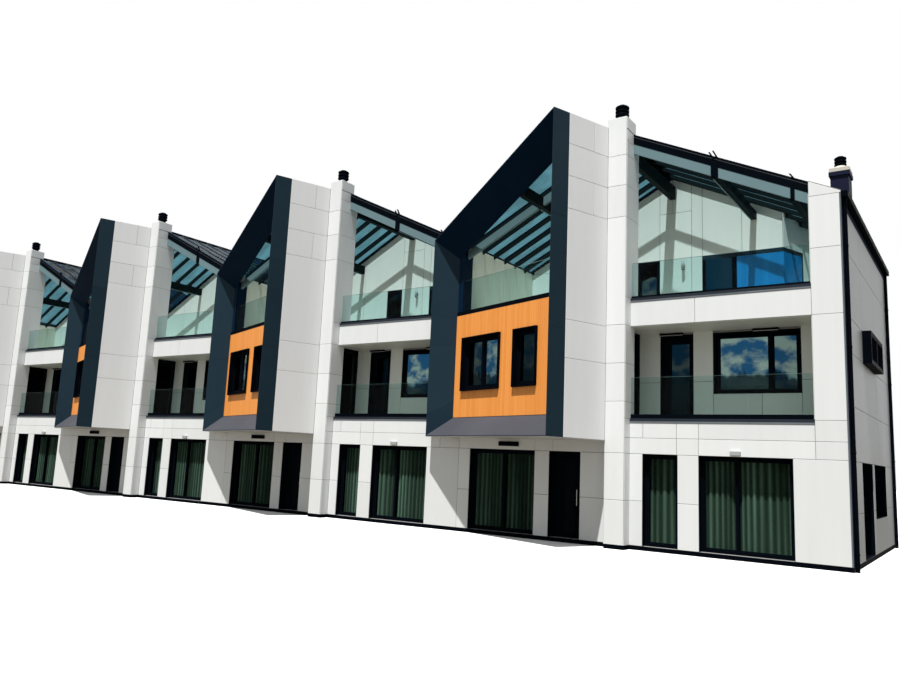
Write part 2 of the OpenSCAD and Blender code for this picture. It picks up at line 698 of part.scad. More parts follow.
// Dark roof edge with a plate over the end of each purlin
module verge_trims() color("black") placed() each_house() difference() {
    intersection() {
        along_y(roof_inset - edge, roof_inset) {
            roof_section(0, roof_t);
            for (x = purlin_xs)
                translate([x - purlin_w / 2, roof_z(x) - roof_t - purlin_d]) square([purlin_w, purlin_d]);
        }
        block([pier_r, -big, 0], [bay_r, big, big]);
    }
    next_bay();
}
// A box gutter's section, its outer lower corner at the origin
module gutter_section(w, h) difference() {
    square([w, h]);
    translate([skin, skin]) square([w - 2 * skin, h]);
}
module gutters() color("black") placed() {
    along_y(0, y_rear) translate([0, eave_z - edge - gutter_h]) gutter_section(gutter_w, gutter_h);
    for (i = [1:1:units - 1]) translate([-i * unit_w, 0, 0]) along_y(wall_t, y_rear)
        translate([-valley_w, roof_z(-valley_w) - roof_t]) gutter_section(valley_w, roof_t - 2 * edge);
}
module downpipes() color("black") placed() for (y = [2 * edge, depth - 4 * edge - downpipe_d])
    translate([downpipe_d / 2 + skin, y + downpipe_d / 2, 0])
        cylinder(d = downpipe_d, h = eave_z - edge - gutter_h);
module end_stack() color("dimgray") placed() difference() {
    union() {
        raised(under_eave, eave_z + stack_rise) stack_plan();
        translate([-stack_w - edge, stack_y - edge, eave_z + stack_rise - coping_t])
            cube([stack_w + 2 * edge, stack_d + 2 * edge, coping_t]);
    }
    under_roof();
}

// Lights given by left edge, foot, width and height, on a wall whose face is at the given depth
long_light = [586, 124];
short_light = [223, 89];
lights = [
    [patio[0] + patio[1] * 0.466, head_z + frame_t, long_light[0], long_light[1], 0],
    [wide[0] + wide[1] * 0.355, head_z + edge, short_light[0], short_light[1], 0],
    [narrow[0], loggia_top - light_d, long_light[0], light_d, loggia_d],
    [wide[0] + wide[1] * 0.471, loggia_top - light_d, long_light[0], light_d, loggia_d]];
// The terrace lamp's place, foot and height
lamp_up = 1897;
lamp_h = 269;
lamp = [-unit_w * 0.4838, top_z + lamp_up, lamp_h];
module wall_lights() color("black") placed() each_house() {
    for (l = lights) translate([l[0], l[4] - light_d, l[1]]) cube([l[2], light_d, l[3]]);
    translate([lamp[0], terrace_d - lamp_d, lamp[1]]) {
        cylinder(d = lamp_d, h = lamp[2]);
        translate([-lamp_d / 6, 0, lamp[2] / 3]) cube([lamp_d / 3, lamp_d, lamp[2] / 3]);
    }
}
// A curtain hangs from a rail on the inside of the lintel
module curtains() color("beige") placed() each_house() for (w = [patio, narrow, wide])
    translate([w[0] + frame_w, wall_t, 0]) {
        block([0, skin, ground_slab + skin], [w[1] - 2 * frame_w, skin + curtain_t, head_z + curb]);
        block([0, 0, head_z + edge], [w[1] - 2 * frame_w, skin + curtain_t, head_z + curb]);
    }
module base_trims() color("black") placed() {
    each_house() {
        block([seam - unit_w, -trim_t, 0], [pier_l - seam, 0, ground_slab]);
        block([pier_r + trim_t + seam, -trim_t, 0], [-seam, 0, ground_slab]);
        block([pier_l, -pier_out - trim_t, 0], [pier_r, -pier_out, ground_slab]);
        block([pier_r, seam - pier_out, 0], [pier_r + trim_t, 0, ground_slab]);
    }
    block([0, 0, 0], [trim_t, 2 * edge, ground_slab]);
    block([0, 3 * edge + downpipe_d, 0], [trim_t, depth - 5 * edge - downpipe_d, ground_slab]);
}

// A leaf hung at its left edge in a frame at the origin. Its left part is solid, and a pane is
// let into each face beside that.
leaf_solid = 0.4;
module leaf(w) {
    leaf_w = w - 2 * frame_w - 2 * leaf_gap;
    leaf_h = door_h - frame_w - 2 * leaf_gap;
    rail = 2 * frame_w;
    translate([frame_w + leaf_gap, frame_t - leaf_t, leaf_gap]) difference() {
        cube([leaf_w, leaf_t, leaf_h]);
        for (y = [-leaf_t, leaf_t]) translate([leaf_w * leaf_solid, (y + sign(y) * pane_t) / 2, rail])
            cube([leaf_w * (1 - leaf_solid) - rail, leaf_t, leaf_h - 2 * rail]);
    }
    at_hinges() translate([0, 0, hinge_h + hairline]) hinge_half(1);
}
module front_door(i) color("black") placed() translate([-i * unit_w, 0, 0]) at_front_door() leaf(door_w);
module front_door_1() front_door(0);
module front_door_2() front_door(1);
module front_door_3() front_door(2);
module front_door_4() front_door(3);
module end_door() color("black") placed() at_end_door() leaf(end_door_w);

floors();
bay_floors();
ground_walls();
front_bands();
party_walls();
end_wall();
rear_walls();
rear_gables();
end_piers();
chimney_piers();
flue_cowls();
copings();
balustrades();
loggia_walls();
bay_flanks();
bay_jambs();
bay_rails();
bay_walls();
bay_returns();
bay_window_boxes();
terrace_walls();
terrace_returns();
ground_frames();
door_frames();
door_hinges();
upper_frames();
ground_glass();
upper_glass();
roof_slabs();
rafters();
roof_glass();
purlins();
fascia_beams();
verge_trims();
gutters();
downpipes();
end_stack();
wall_lights();
curtains();
base_trims();
front_door_1();
front_door_2();
front_door_3();
front_door_4();
end_door();
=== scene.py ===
from math import cos, pi, radians, sin, tan

import bpy
import numpy as np
from mathutils import Matrix, Vector


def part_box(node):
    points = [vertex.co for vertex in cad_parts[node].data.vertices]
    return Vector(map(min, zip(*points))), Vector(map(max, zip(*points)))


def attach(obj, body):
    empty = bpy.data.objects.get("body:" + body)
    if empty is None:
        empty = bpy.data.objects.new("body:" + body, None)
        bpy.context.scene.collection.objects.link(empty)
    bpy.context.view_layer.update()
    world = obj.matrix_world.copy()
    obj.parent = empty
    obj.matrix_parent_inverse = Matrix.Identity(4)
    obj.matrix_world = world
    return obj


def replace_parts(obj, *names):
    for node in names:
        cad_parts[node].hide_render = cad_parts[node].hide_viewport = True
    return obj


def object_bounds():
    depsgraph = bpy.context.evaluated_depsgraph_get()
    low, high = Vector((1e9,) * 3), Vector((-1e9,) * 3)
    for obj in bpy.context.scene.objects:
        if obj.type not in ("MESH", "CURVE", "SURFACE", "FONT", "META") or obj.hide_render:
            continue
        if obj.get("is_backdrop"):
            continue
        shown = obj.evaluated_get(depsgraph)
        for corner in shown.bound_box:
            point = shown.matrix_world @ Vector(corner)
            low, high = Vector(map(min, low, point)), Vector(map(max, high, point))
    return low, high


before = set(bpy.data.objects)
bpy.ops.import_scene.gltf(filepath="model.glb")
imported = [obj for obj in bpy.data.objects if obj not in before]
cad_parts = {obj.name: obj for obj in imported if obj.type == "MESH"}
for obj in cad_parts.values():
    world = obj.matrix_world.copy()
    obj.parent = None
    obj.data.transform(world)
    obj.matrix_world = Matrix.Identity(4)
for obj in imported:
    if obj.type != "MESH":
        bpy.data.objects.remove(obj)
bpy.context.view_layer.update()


# The view: from 1.9 m above the ground, in front of the right-hand house near its outer corner,
# along the row to the left and a little up.
yaw, tilt, roll = radians(34.965), radians(9.0), radians(2.549)
eye = (22.129, -20.941, 1.862)
sensor_mm, focal_px, picture_px = 36.0, 779.714, 900.0
ahead = Vector((-sin(yaw) * cos(tilt), cos(yaw) * cos(tilt), sin(tilt)))
level = Vector((cos(yaw), sin(yaw), 0.0))
over = level.cross(ahead)
across = cos(roll) * level + sin(roll) * over
upward = cos(roll) * over - sin(roll) * level
camera = bpy.data.objects.new("view", bpy.data.cameras.new("view"))
camera.data.sensor_width = sensor_mm
camera.data.lens = sensor_mm * focal_px / picture_px
camera.data.clip_end = 500.0
camera.matrix_world = (Matrix.Translation(eye)
                       @ Matrix((across, upward, -ahead)).transposed().to_4x4())
bpy.context.collection.objects.link(camera)
bpy.context.scene.camera = camera
bpy.context.scene.view_settings.view_transform = "Standard"


# Daylight: a high sun square to the front, an even sky all round, and a soft light from the
# right. The camera, gloss and clear glass see a plain white sky.
def lamp(name, travel, strength, spread, colour):
    """A far lamp whose light travels along the given direction."""
    data = bpy.data.lights.new(name, "SUN")
    data.energy, data.angle, data.color = strength, radians(spread), colour
    made = bpy.data.objects.new(name, data)
    made.rotation_mode = "QUATERNION"
    made.rotation_quaternion = Vector((0, 0, -1)).rotation_difference(Vector(travel).normalized())
    bpy.context.collection.objects.link(made)


class Value:
    """A node's output: sums, differences, products and powers add their Math nodes."""

    def __init__(self, tree, socket):
        self.tree, self.socket = tree, socket

    def math(self, kind, *terms):
        """A Math node of the given kind on the terms."""
        return self.tree.node("Math", {"operation": kind}, dict(enumerate(terms)))

    def __add__(self, other):
        return self.math("ADD", self, other)

    def __sub__(self, other):
        return self.math("SUBTRACT", self, other)

    def __rsub__(self, other):
        return self.math("SUBTRACT", other, self)

    def __mul__(self, other):
        return self.math("MULTIPLY", self, other)

    def __pow__(self, other):
        return self.math("POWER", self, other)

    __radd__, __rmul__ = __add__, __mul__


class Tree:
    """The nodes of the sky or of a material, and the links between them."""

    def __init__(self, owner):
        owner.use_nodes = True
        self.nodes = owner.node_tree.nodes
        self.link = owner.node_tree.links.new

    def node(self, kind, settings={}, sockets={}, out=0):
        """A new node: its settings first, a ramp's stops included, then what its sockets get."""
        made = self.nodes.new("ShaderNode" + kind)
        for key, value in settings.items():
            if key == "stops":
                stops = made.color_ramp.elements
                for k, (at, colour) in enumerate(value):
                    stop = stops[k] if k < 2 else stops.new(at)
                    stop.position, stop.color = at, (*colour, 1.0)
            else:
                setattr(made, key, value)
        for key, value in sockets.items():
            self.put(made.inputs[key], value)
        return Value(self, made.outputs[out])

    def put(self, socket, value):
        """Gives a socket a link or its steady value, a colour being made opaque."""
        if isinstance(value, Value):
            self.link(value.socket, socket)
        elif isinstance(value, tuple) and len(socket.default_value) == 4:
            socket.default_value = (*value[:3], 1.0)
        else:
            socket.default_value = value

    def show(self, shader, output):
        """Sends a shader to the output node."""
        self.link(shader.socket, self.nodes[output].inputs["Surface"])


lamp("sun", (-0.14, 1.0, -2.9), 6.6, 0.8, (1.0, 0.985, 0.955))
lamp("soft_side", (-1.0, 0.75, -0.55), 0.3, 70.0, (0.93, 0.97, 1.0))
sky = bpy.data.worlds.new("sky")
bpy.context.scene.world = sky
air = Tree(sky)
glow = air.nodes["Background"]
air.put(glow.inputs["Color"], (0.88, 0.95, 1.0))
air.put(glow.inputs["Strength"], 0.33)
white_sky = air.node("Background", {}, {"Color": (1.0, 1.0, 1.0)})
to_eye = air.node("LightPath", out="Is Camera Ray")
for ray in ("Is Glossy Ray", "Is Transmission Ray"):
    to_eye = to_eye.math("MAXIMUM", to_eye, air.node("LightPath", out=ray))
air.show(air.node("MixShader", {}, {0: to_eye, 1: Value(air, glow.outputs[0]), 2: white_sky}),
         "World Output")


# The floor: a plain pale sheet under the row, darker to the light that it throws back than to
# the eye.
class Finish(Tree):
    """A material: its Principled node and whatever feeds it."""

    def __init__(self, name, slot=None, **steady):
        self.material, self.slot = bpy.data.materials.new(name), slot
        super().__init__(self.material)
        self.body = self.nodes["Principled BSDF"]
        self.feed(**steady)
        self.place = self.node("TexCoord", out="Object")
        self.tone = self.node("Attribute", {"attribute_name": "tone"}, out="Fac")

    def feed(self, **sockets):
        """Gives sockets of the Principled node their links or steady values."""
        for key, value in sockets.items():
            self.put(self.body.inputs[key.replace("_", " ")], value)

    def mix(self, share, first, second):
        """The first colour where the share is 0, the second where it is 1."""
        return self.node("Mix", {"data_type": "RGBA"}, {0: share, 6: first, 7: second}, 2)

    def paint(self, share, first, second, **more):
        """Base colour from the first to the second by a share, and whatever else is given."""
        self.feed(Base_Color=self.mix(share, first, second), **more)

    def noise(self, scale, stretch=(1.0, 1.0, 1.0), detail=3.0, rough=0.55, wave=0.0):
        """Noise on the piece's own place, with the place stretched first."""
        spot = self.node("Mapping", {}, {"Location": (0.31, 0.17, 0.23), "Vector": self.place,
                                         "Scale": stretch})
        return self.node("TexNoise", {}, {"Vector": spot, "Scale": scale, "Detail": detail,
                                          "Roughness": rough, "Distortion": wave})

    def bump(self, height, distance, strength=1.0):
        """Tilts the shading by the slope of a height."""
        self.feed(Normal=self.node("Bump", {}, {"Height": height, "Distance": distance,
                                                "Strength": strength}))


reach = 160
floor_mesh = bpy.data.meshes.new("floor")
floor_mesh.from_pydata([(-reach, -reach, 0), (reach, -reach, 0), (reach, reach, 0),
                        (-reach, reach, 0)], [], [(0, 1, 2, 3)])
floor = bpy.data.objects.new("floor", floor_mesh)
bpy.context.collection.objects.link(floor)
pale = Finish("pale_floor", Roughness=0.9)
pale.paint(pale.node("LightPath", out="Is Camera Ray"), (0.112, 0.1, 0.078), (0.86, 0.86, 0.86))
floor_mesh.materials.append(pale.material)
floor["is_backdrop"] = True


# Structure: cast walls and slabs with a thin coat, seen only inside the rooms and in the joints
# between the wall panels.
def dress(finish, *nodes):
    """Gives CAD nodes a finish."""
    for name in nodes:
        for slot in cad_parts[name].material_slots:
            slot.material = finish.material


plaster = Finish("wall_coat", Roughness=0.85)
grains = plaster.noise(34.0, detail=5.0)
plaster.paint(plaster.noise(1.3) * 0.7 + grains * 0.3, (0.11, 0.11, 0.108), (0.3, 0.298, 0.29))
plaster.bump(grains, 0.004, 0.4)
dress(plaster, "ground_walls", "front_bands", "end_piers", "chimney_piers", "bay_flanks",
      "end_wall", "party_walls", "rear_walls", "rear_gables", "loggia_walls", "terrace_walls",
      "terrace_returns", "bay_walls", "bay_floors", "floors")


# White wall panels: coated sheets 14 mm thick with folded edges, hung on the walls with 10 mm
# open joints between them. Places run along a house from its right edge, and up from the ground.
def cells(xs, zs):
    """Every field between neighbouring numbers of xs and of zs, as x0, x1, z0, z1."""
    return [(a, b, c, d) for a, b in zip(xs, xs[1:]) for c, d in zip(zs, zs[1:])]


def fields(origin, along, rising, spans):
    """Corners of four-cornered fields on a plane, corner = origin + a along + b rising, for spans
    (a0, a1, b0, b1), with a fifth number where the top is at another height at a1."""
    span = np.array([(*s, s[3])[:5] for s in spans], float)
    a = span[:, [0, 1, 1, 0]]
    b = span[:, [2, 2, 4, 3]]
    return np.asarray(origin, float) + a[..., None] * along + b[..., None] * rising


def plates(fronts, thick, joint, bevel):
    """Vertices, faces and tone of one shallow tray on each flat field, whose corners run
    anticlockwise as seen from outside. Three rings stand 0, thick - bevel and thick outwards,
    drawn in by half the joint, the same, and that plus the bevel. A corner drawn in by g is
    p + g (m + n) / (1 + m.n), m and n being the inward normals of its two edges."""
    count, n = fronts.shape[:2]
    edge = np.roll(fronts, -1, 1) - fronts
    edge /= np.linalg.norm(edge, axis=2, keepdims=True)
    out = np.cross(fronts[:, 1] - fronts[:, 0], fronts[:, -1] - fronts[:, 0])[:, None]
    out /= np.linalg.norm(out, axis=2, keepdims=True)
    inward = np.cross(out, edge)
    before = np.roll(inward, 1, 1)
    slide = (inward + before) / (1 + (inward * before).sum(2, keepdims=True))
    rings = [fronts + slide * g + out * h for g, h in
             ((joint / 2, 0.0), (joint / 2, thick - bevel), (joint / 2 + bevel, thick))]
    points = np.stack(rings, 1).reshape(-1, 3)
    j = np.arange(n)
    ends = np.array([j[::-1], 2 * n + j])
    sides = np.concatenate([k + np.stack([j, (j + 1) % n, n + (j + 1) % n, n + j], 1)
                            for k in (0, n)])
    start = 3 * n * np.arange(count)[:, None, None]
    faces = (start + ends).reshape(-1, n).tolist() + (start + sides).reshape(-1, 4).tolist()
    return points, faces, np.repeat(np.random.default_rng(7).random(count), 3 * n)


def piece(name, points, faces, tone, finish, body="house_row", smooth=False, slot=None):
    """A mesh at the row's corner, its tone kept as an attribute for the finish to read. The slot
    is not used."""
    mesh = bpy.data.meshes.new(name)
    mesh.from_pydata((points + corner).tolist(), [], faces)
    mesh.attributes.new("tone", "FLOAT", "POINT").data.foreach_set(
        "value", np.asarray(tone, np.float32))
    mesh.polygons.foreach_set("use_smooth", [smooth] * len(mesh.polygons))
    mesh.materials.append(finish.material)
    mesh.update()
    made = bpy.data.objects.new(name, mesh)
    bpy.context.collection.objects.link(made)
    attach(made, body)
    return made


def lay(name, quads, finish, thick, joint=0.0, bevel=0.003, once=False, tones=None, **more):
    """One piece of plates on a list of sets of fields, in every house, which is the first one
    moved left by whole widths, unless it is there once. A house's tones may be given."""
    fronts = np.concatenate(quads)
    if not once:
        steps = np.arange(houses)[:, None, None, None] * (-house_w * X)
        fronts = (fronts[None] + steps).reshape(-1, 4, 3)
    points, faces, tone = plates(fronts, thick, joint, bevel)
    if tones:
        tone = np.tile(np.repeat(tones, len(points) // len(fronts)), houses)
    return piece(name, points, faces, tone, finish, **more)


def panel_finish(name, colour, roughness=0.42, streaks=0.06, slot="white_panel"):
    """Smooth coat with a slight tone to each panel, faint streaks down it and a light ripple."""
    made = Finish(name, slot)
    worn = made.tone * 0.45 + made.noise(1.0, (5.0, 5.0, 0.35), 4.0) * 0.55
    dull = tuple(c * (1 - 2 * streaks) for c in colour)
    bright = tuple(min(1.0, c * (1 + streaks / 2)) for c in colour)
    made.paint(worn, dull, bright, Roughness=made.noise(9.0) * 0.2 + (roughness - 0.1))
    made.bump(made.noise(2.2, detail=2.0), 0.006, 0.12)
    return made


def roof_z(x):
    """Height of the roof's top at x: two slopes that meet at the ridge."""
    return ridge_z + (slope_l if x < ridge_x else -slope_r) * (x - ridge_x)


X, Y, Z = np.eye(3)
houses, house_w = 4, 9.67
corner = np.array([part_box("end_wall")[1].x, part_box("front_bands")[0].y, 0.0])
ridge_x, pier_l, pier_r, bay_r = -5.002, -5.249, -4.755, -0.646
patio, door = (-9.305, -7.314), (-6.896, -6.032)
narrow, wide = (-4.426, -3.588), (-3.103, -1.097)
base_z, row_z, head_z, sill_z, lintel_z = 0.1, 1.132, 2.23, 2.52, 2.605
balcony_z, loggia_z, upper_z, terrace_z = 2.963, 5.32, 5.325, 5.92
eave_z, ridge_z = 8.045, 10.46
slope_r = (ridge_z - eave_z) / -ridge_x
slope_l = (ridge_z - eave_z) / (house_w + ridge_x)
low_rows, corner_rows = [base_z, row_z, head_z], [3.05, upper_z, 6.8, 7.983]
front = []
for a, b in ((-house_w, patio[0]), (patio[1], door[0]), (door[1], pier_l),
             (pier_r, narrow[0]), (narrow[1], wide[0])):
    front += cells([a, b], low_rows)
front += cells([wide[1], 0.0], [base_z, head_z])
front += cells([-house_w, patio[1], door[0] + 0.1, pier_l], [head_z, sill_z])
front += cells([pier_r, -3.609, wide[0], bay_r], [head_z, lintel_z])
front += cells([pier_r, -4.418, -3.609, -3.1, bay_r], [lintel_z, balcony_z])
front += cells([pier_r, -3.168, bay_r], [loggia_z, terrace_z])
front += cells([bay_r, 0.0], [head_z, lintel_z, *corner_rows])
front.append((bay_r, 0.0, corner_rows[-1], roof_z(bay_r) - 0.02, eave_z - 0.02))
white = panel_finish("white_panels", (0.815, 0.83, 0.835))
panel_t, gap = 0.012, 0.010
lay("front_panels", [fields(0 * X, X, Z, front)], white, 0.014, gap)

# Chimney piers: the same panels on all four sides, with longer sheets up to the roof and a folded
# cap over the top.
pier_out, pier_back, pier_top, wall_in, lap = 0.326, 0.464, 10.68, 0.25, 0.02
balcony_top, top_z, terrace_top, roof_y = 3.063, 5.72, 6.02, 0.15
mid_rows, high_rows = [3.457, 4.383], [8.048, 8.871, 9.667]
verge_low, verge_high, cap_low = 10.04, 10.34, 10.48
returns = cells([-pier_out, -lap], low_rows + [lintel_z, balcony_top])
returns += cells([-pier_out, wall_in], [balcony_top, *mid_rows, loggia_z])
returns += cells([-pier_out, -lap], [loggia_z, terrace_top])
returns += cells([-pier_out, pier_back], [terrace_top, *high_rows, verge_low])
returns += [(-pier_out, roof_y - 0.032, verge_low, verge_high),
            (-pier_out, wall_in, verge_high + 0.02, pier_top)]
pier_rows = low_rows + mid_rows + [upper_z] + high_rows + [pier_top]
quads = [
    fields(-pier_out * Y, X, Z, cells([pier_l, pier_r], pier_rows)),
    fields(pier_r * X, Y, Z, returns),
    fields(pier_l * X, -Y, Z, cells([0.0, pier_out], low_rows + [sill_z])
           + [(-wall_in, pier_out, cap_low, pier_top)]),
    fields(wall_in * Y, -X, Z, [(-pier_r, -pier_l, cap_low, pier_top)]),
    fields(pier_back * Y, -X, Z, cells([-pier_r, -pier_l], [top_z, high_rows[0], 9.72])),
    fields(pier_top * Z, X, Y, [(pier_l, pier_r, -pier_out, wall_in)])]
lay("pier_panels", quads, white, panel_t, gap)

# Bay flanks: tall coated sheets on the turned side of each bay, hung like the rest from the dark
# frame back to the pier.
turn = radians(20.4)
side, deep = np.array([cos(turn), -sin(turn), 0.0]), np.array([sin(turn), cos(turn), 0.0])
bay_fr = np.array([-5.90575, -2.09195, 0.0])
bay_w, flank_l, frame_d, frame_high, frame_low = 4.990225, 1.88412, 0.52, 10.47, 8.165
whole, halves = [frame_d, flank_l - 0.012], [frame_d, 1.384, flank_l - 0.012]
flank = cells(whole, [sill_z, 4.376, 5.297, 8.027]) + cells(whole, [8.855, 9.676])
flank += cells(halves, [8.027, 8.855]) + cells(halves, [9.676, frame_high])
cool_white = panel_finish("flank_panels", (0.835, 0.84, 0.85), streaks=0.05)
lay("flank_panels", [fields(bay_fr, deep, Z, flank)], cool_white, panel_t, gap)

# Bay frames: dark coated cassettes on the four splayed sides of each portal, and round its
# outside. The side overhead and the returns are painted darker, painted shade, and the one
# below is dusty.
navy = Finish("frame_coat", "dark_metal", Specular_IOR_Level=0.06)
navy.paint(navy.noise(1.1, detail=4.0) * 0.6 + navy.tone * 0.4, (0.0095, 0.023, 0.036),
           (0.017, 0.036, 0.053), Roughness=navy.noise(6.0) * 0.2 + 0.4)
navy.bump(navy.noise(1.6, detail=2.0), 0.006, 0.15)
dress(navy, "bay_jambs", "bay_rails")
jamb_l, jamb_r, frame_sill, frame_head = 0.58, 0.48, 0.536, 0.85
lip, lip_d = 0.0251, 0.005
frame_slope = (frame_high - frame_low) / bay_w
outer = np.array([[-bay_w, sill_z], [0, sill_z], [0, frame_high], [-bay_w, frame_low]])
inner = outer + [[jamb_l, frame_sill], [-jamb_r, frame_sill],
                 [-jamb_r, -jamb_r * frame_slope - frame_head],
                 [jamb_l, jamb_l * frame_slope - frame_head]]
lipped = outer + lip * (inner - outer)


def in_bay(s, d, z):
    """A point of the bay: s along its front from the right corner, d inwards and z up."""
    spread = np.multiply.outer
    return bay_fr + spread(s, side) + spread(d, deep) + spread(z, Z)


def splay(k, cuts):
    """The splayed side from corner k to the next, cut across at shares of its length: its front
    edge runs between the lipped corners and its back edge between the inner ones."""
    n = (k + 1) % 4
    share = np.array(cuts)[:, None]
    fore = lipped[k] + share * (lipped[n] - lipped[k])
    back = inner[k] + share * (inner[n] - inner[k])
    fore = in_bay(fore[:, 0], 0 * fore[:, 0], fore[:, 1])
    back = in_bay(back[:, 0], frame_d + 0 * back[:, 0], back[:, 1])
    return np.stack([fore[:-1], fore[1:], back[1:], back[:-1]], 1)


def on_plane(origin, along, rising, flat):
    """Flat corners (u, v) carried onto a plane: origin + u along + v rising."""
    return np.asarray(origin, float) + flat[..., :1] * along + flat[..., 1:] * rising


left_len = lipped[3, 1] - lipped[0, 1]
left_cuts = [0.0] + [1 - (z - lipped[0, 1]) / left_len for z in (5.990, 5.067, 3.095)] + [1.0]
lips = np.stack([outer, np.roll(outer, -1, 0), np.roll(lipped, -1, 0), lipped], 1)
lips = on_plane(in_bay(0, lip_d, 0), side, Z, lips)
sheet = {"thick": 0.006, "joint": 0.006, "bevel": 0.002}
quads = [splay(1, [0, 0.32, 0.66, 1]), splay(3, left_cuts), lips[1:],
         fields(bay_fr, deep, Z, cells([0.0, frame_d], [sill_z, 5.067, 7.8, frame_high]))]
lay("frame_cassettes", quads, navy, **sheet)
# Painted shade: a darker copy of the frame's coat for the side overhead and the returns.
navy_painted_shade = Finish("head_coat", "dark_metal", Specular_IOR_Level=0.03)
navy_painted_shade.paint(navy_painted_shade.noise(1.1, detail=4.0), (0.001, 0.008, 0.021), (0.003, 0.018, 0.044),
                Roughness=0.5)
dress(navy_painted_shade, "bay_returns")
lay("frame_heads", [splay(2, [0, 1])], navy_painted_shade, **sheet)
dusty = Finish("sill_coat", "dark_metal", Specular_IOR_Level=0.1)
film = dusty.noise(0.9, (0.7, 1.0, 1.0), 5.0)
dusty.paint(film, (0.037, 0.04, 0.052), (0.072, 0.073, 0.086), Roughness=film * 0.2 + 0.45)
dusty.bump(dusty.noise(1.6, detail=2.0), 0.006, 0.15)
lay("frame_sills", [splay(0, [0, 1]), lips[:1]], dusty, **sheet)

# Orange boards: upright planks between the frame's inner edges, 22 mm thick, with 6 mm gaps, cut
# round the two projecting windows.
orange = Finish("orange_boards", "orange_board", Specular_IOR_Level=0.3)
fibre = orange.noise(9.0, (9.0, 9.0, 0.7), 5.0, 0.6, 0.6)
orange.paint(orange.tone * 0.5 + fibre * 0.5, (0.82, 0.28, 0.048), (1.0, 0.4, 0.088),
             Roughness=fibre * 0.25 + 0.36)
orange.bump(fibre, 0.003, 0.35)
win_low, win_high = 3.77, 5.25
bay_wide, bay_narrow = (-4.06, -2.41), (-1.85, -0.955)
boards = []
for s0, s1, count in ((-bay_w + jamb_l, bay_wide[0], 4), (bay_wide[1], bay_narrow[0], 7),
                      (bay_narrow[1], -jamb_r, 6)):
    boards += cells(np.linspace(s0, s1, count + 1).tolist(), [inner[0, 1], terrace_z])
for (s0, s1), count in ((bay_wide, 20), (bay_narrow, 11)):
    for z0, z1 in ((inner[0, 1], win_low), (win_high, terrace_z)):
        boards += cells(np.linspace(s0, s1, count + 1).tolist(), [z0, z1])
lay("orange_boards", [fields(in_bay(0, frame_d, 0), side, Z, boards)], orange, 0.022, joint=0.006,
    bevel=0.002)

# End wall: white coated panels painted grey, as painted shade, thinner than those of the
# front, hung round its door, its window and the box window.
end_white_painted_shade = panel_finish("end_panels", (0.38, 0.4, 0.41), streaks=0.05)
end_door, end_window, window_low = (1.716, 3.516), (3.86, 6.26), 0.92
box_y, box_z, strip_y, gutter_z = (2.5, 4.8), (4.56, 5.34), 7.9, 7.74
end = cells([wall_in, end_door[0]], low_rows) + cells([end_door[1], end_window[0]], low_rows)
end += cells([end_window[1], strip_y], low_rows) + cells(end_window, [base_z, window_low])
end += cells([wall_in, *box_y, strip_y], [head_z, 3.4, box_z[0]])
end += cells([wall_in, box_y[0]], box_z) + cells([box_y[1], strip_y], box_z)
end += cells([wall_in, *box_y, strip_y], [box_z[1], 6.8, gutter_z])
lay("end_panels", [fields(0 * X, Y, Z, end)], end_white_painted_shade, 0.008, gap, once=True)


# Coated metal: folded and drawn parts with a baked powder coat, from box gutters, pipes and roof
# edges to copings, doors and window frames, in blacks, greys and a dark blue.
def metal(name, slot, colour, roughness=0.4, spread=0.35, shine=0.07, **steady):
    """Powder coat: cloudy tone, uneven gloss and a fine orange-peel surface."""
    made = Finish(name, slot, Specular_IOR_Level=shine, IOR=1.15, **steady)
    dark, light = (tuple(min(1.0, c * k) for c in colour) for k in (1 - spread, 1 + spread))
    made.paint(made.noise(1.7, detail=4.0) * 0.6 + made.tone * 0.4, dark, light,
               Roughness=made.noise(7.0) * 0.24 + (roughness - 0.12))
    made.bump(made.noise(90.0, detail=2.0), 0.0006, 0.25)
    return made


black = metal("black_coat", "black_metal", (0.0025, 0.004, 0.007), shine=0.03)
coping_coat = metal("coping_coat", "black_metal", (0.028, 0.035, 0.046))
grey = metal("grey_coat", "grey_metal", (0.16, 0.18, 0.2))
light_grey = metal("fascia_coat", "grey_metal", (0.155, 0.24, 0.265), spread=0.12)
roof_metal = metal("roof_sheet", "roof_metal", (0.022, 0.042, 0.076), 0.5)
charcoal = metal("stack_coat", "dark_metal", (0.018, 0.021, 0.045))
rafter_dark = metal("rafter_coat", "dark_metal", (0.009, 0.015, 0.017), shine=0.05)
dress(black, "ground_frames", "door_frames", "door_hinges", "upper_frames", "verge_trims",
      "gutters", "downpipes", "flue_cowls", "wall_lights", "base_trims", "bay_window_boxes",
      "front_door_1", "front_door_2", "front_door_3", "front_door_4", "end_door")
dress(coping_coat, "copings")
dress(light_grey, "fascia_beams")
dress(roof_metal, "roof_slabs")
dress(charcoal, "end_stack")
dress(rafter_dark, "rafters", "purlins")
dress(grey, "curtains")


# Under the bays: pale sheets on the underside between the frame and the front wall, and dark
# linings in the reveals of the ground-floor windows and doors.
def front_line(x):
    """Distance of the bay frame's back edge from the wall at x, along the turned plan's line."""
    return 1.6045 + tan(turn) * (x + 5.7245)


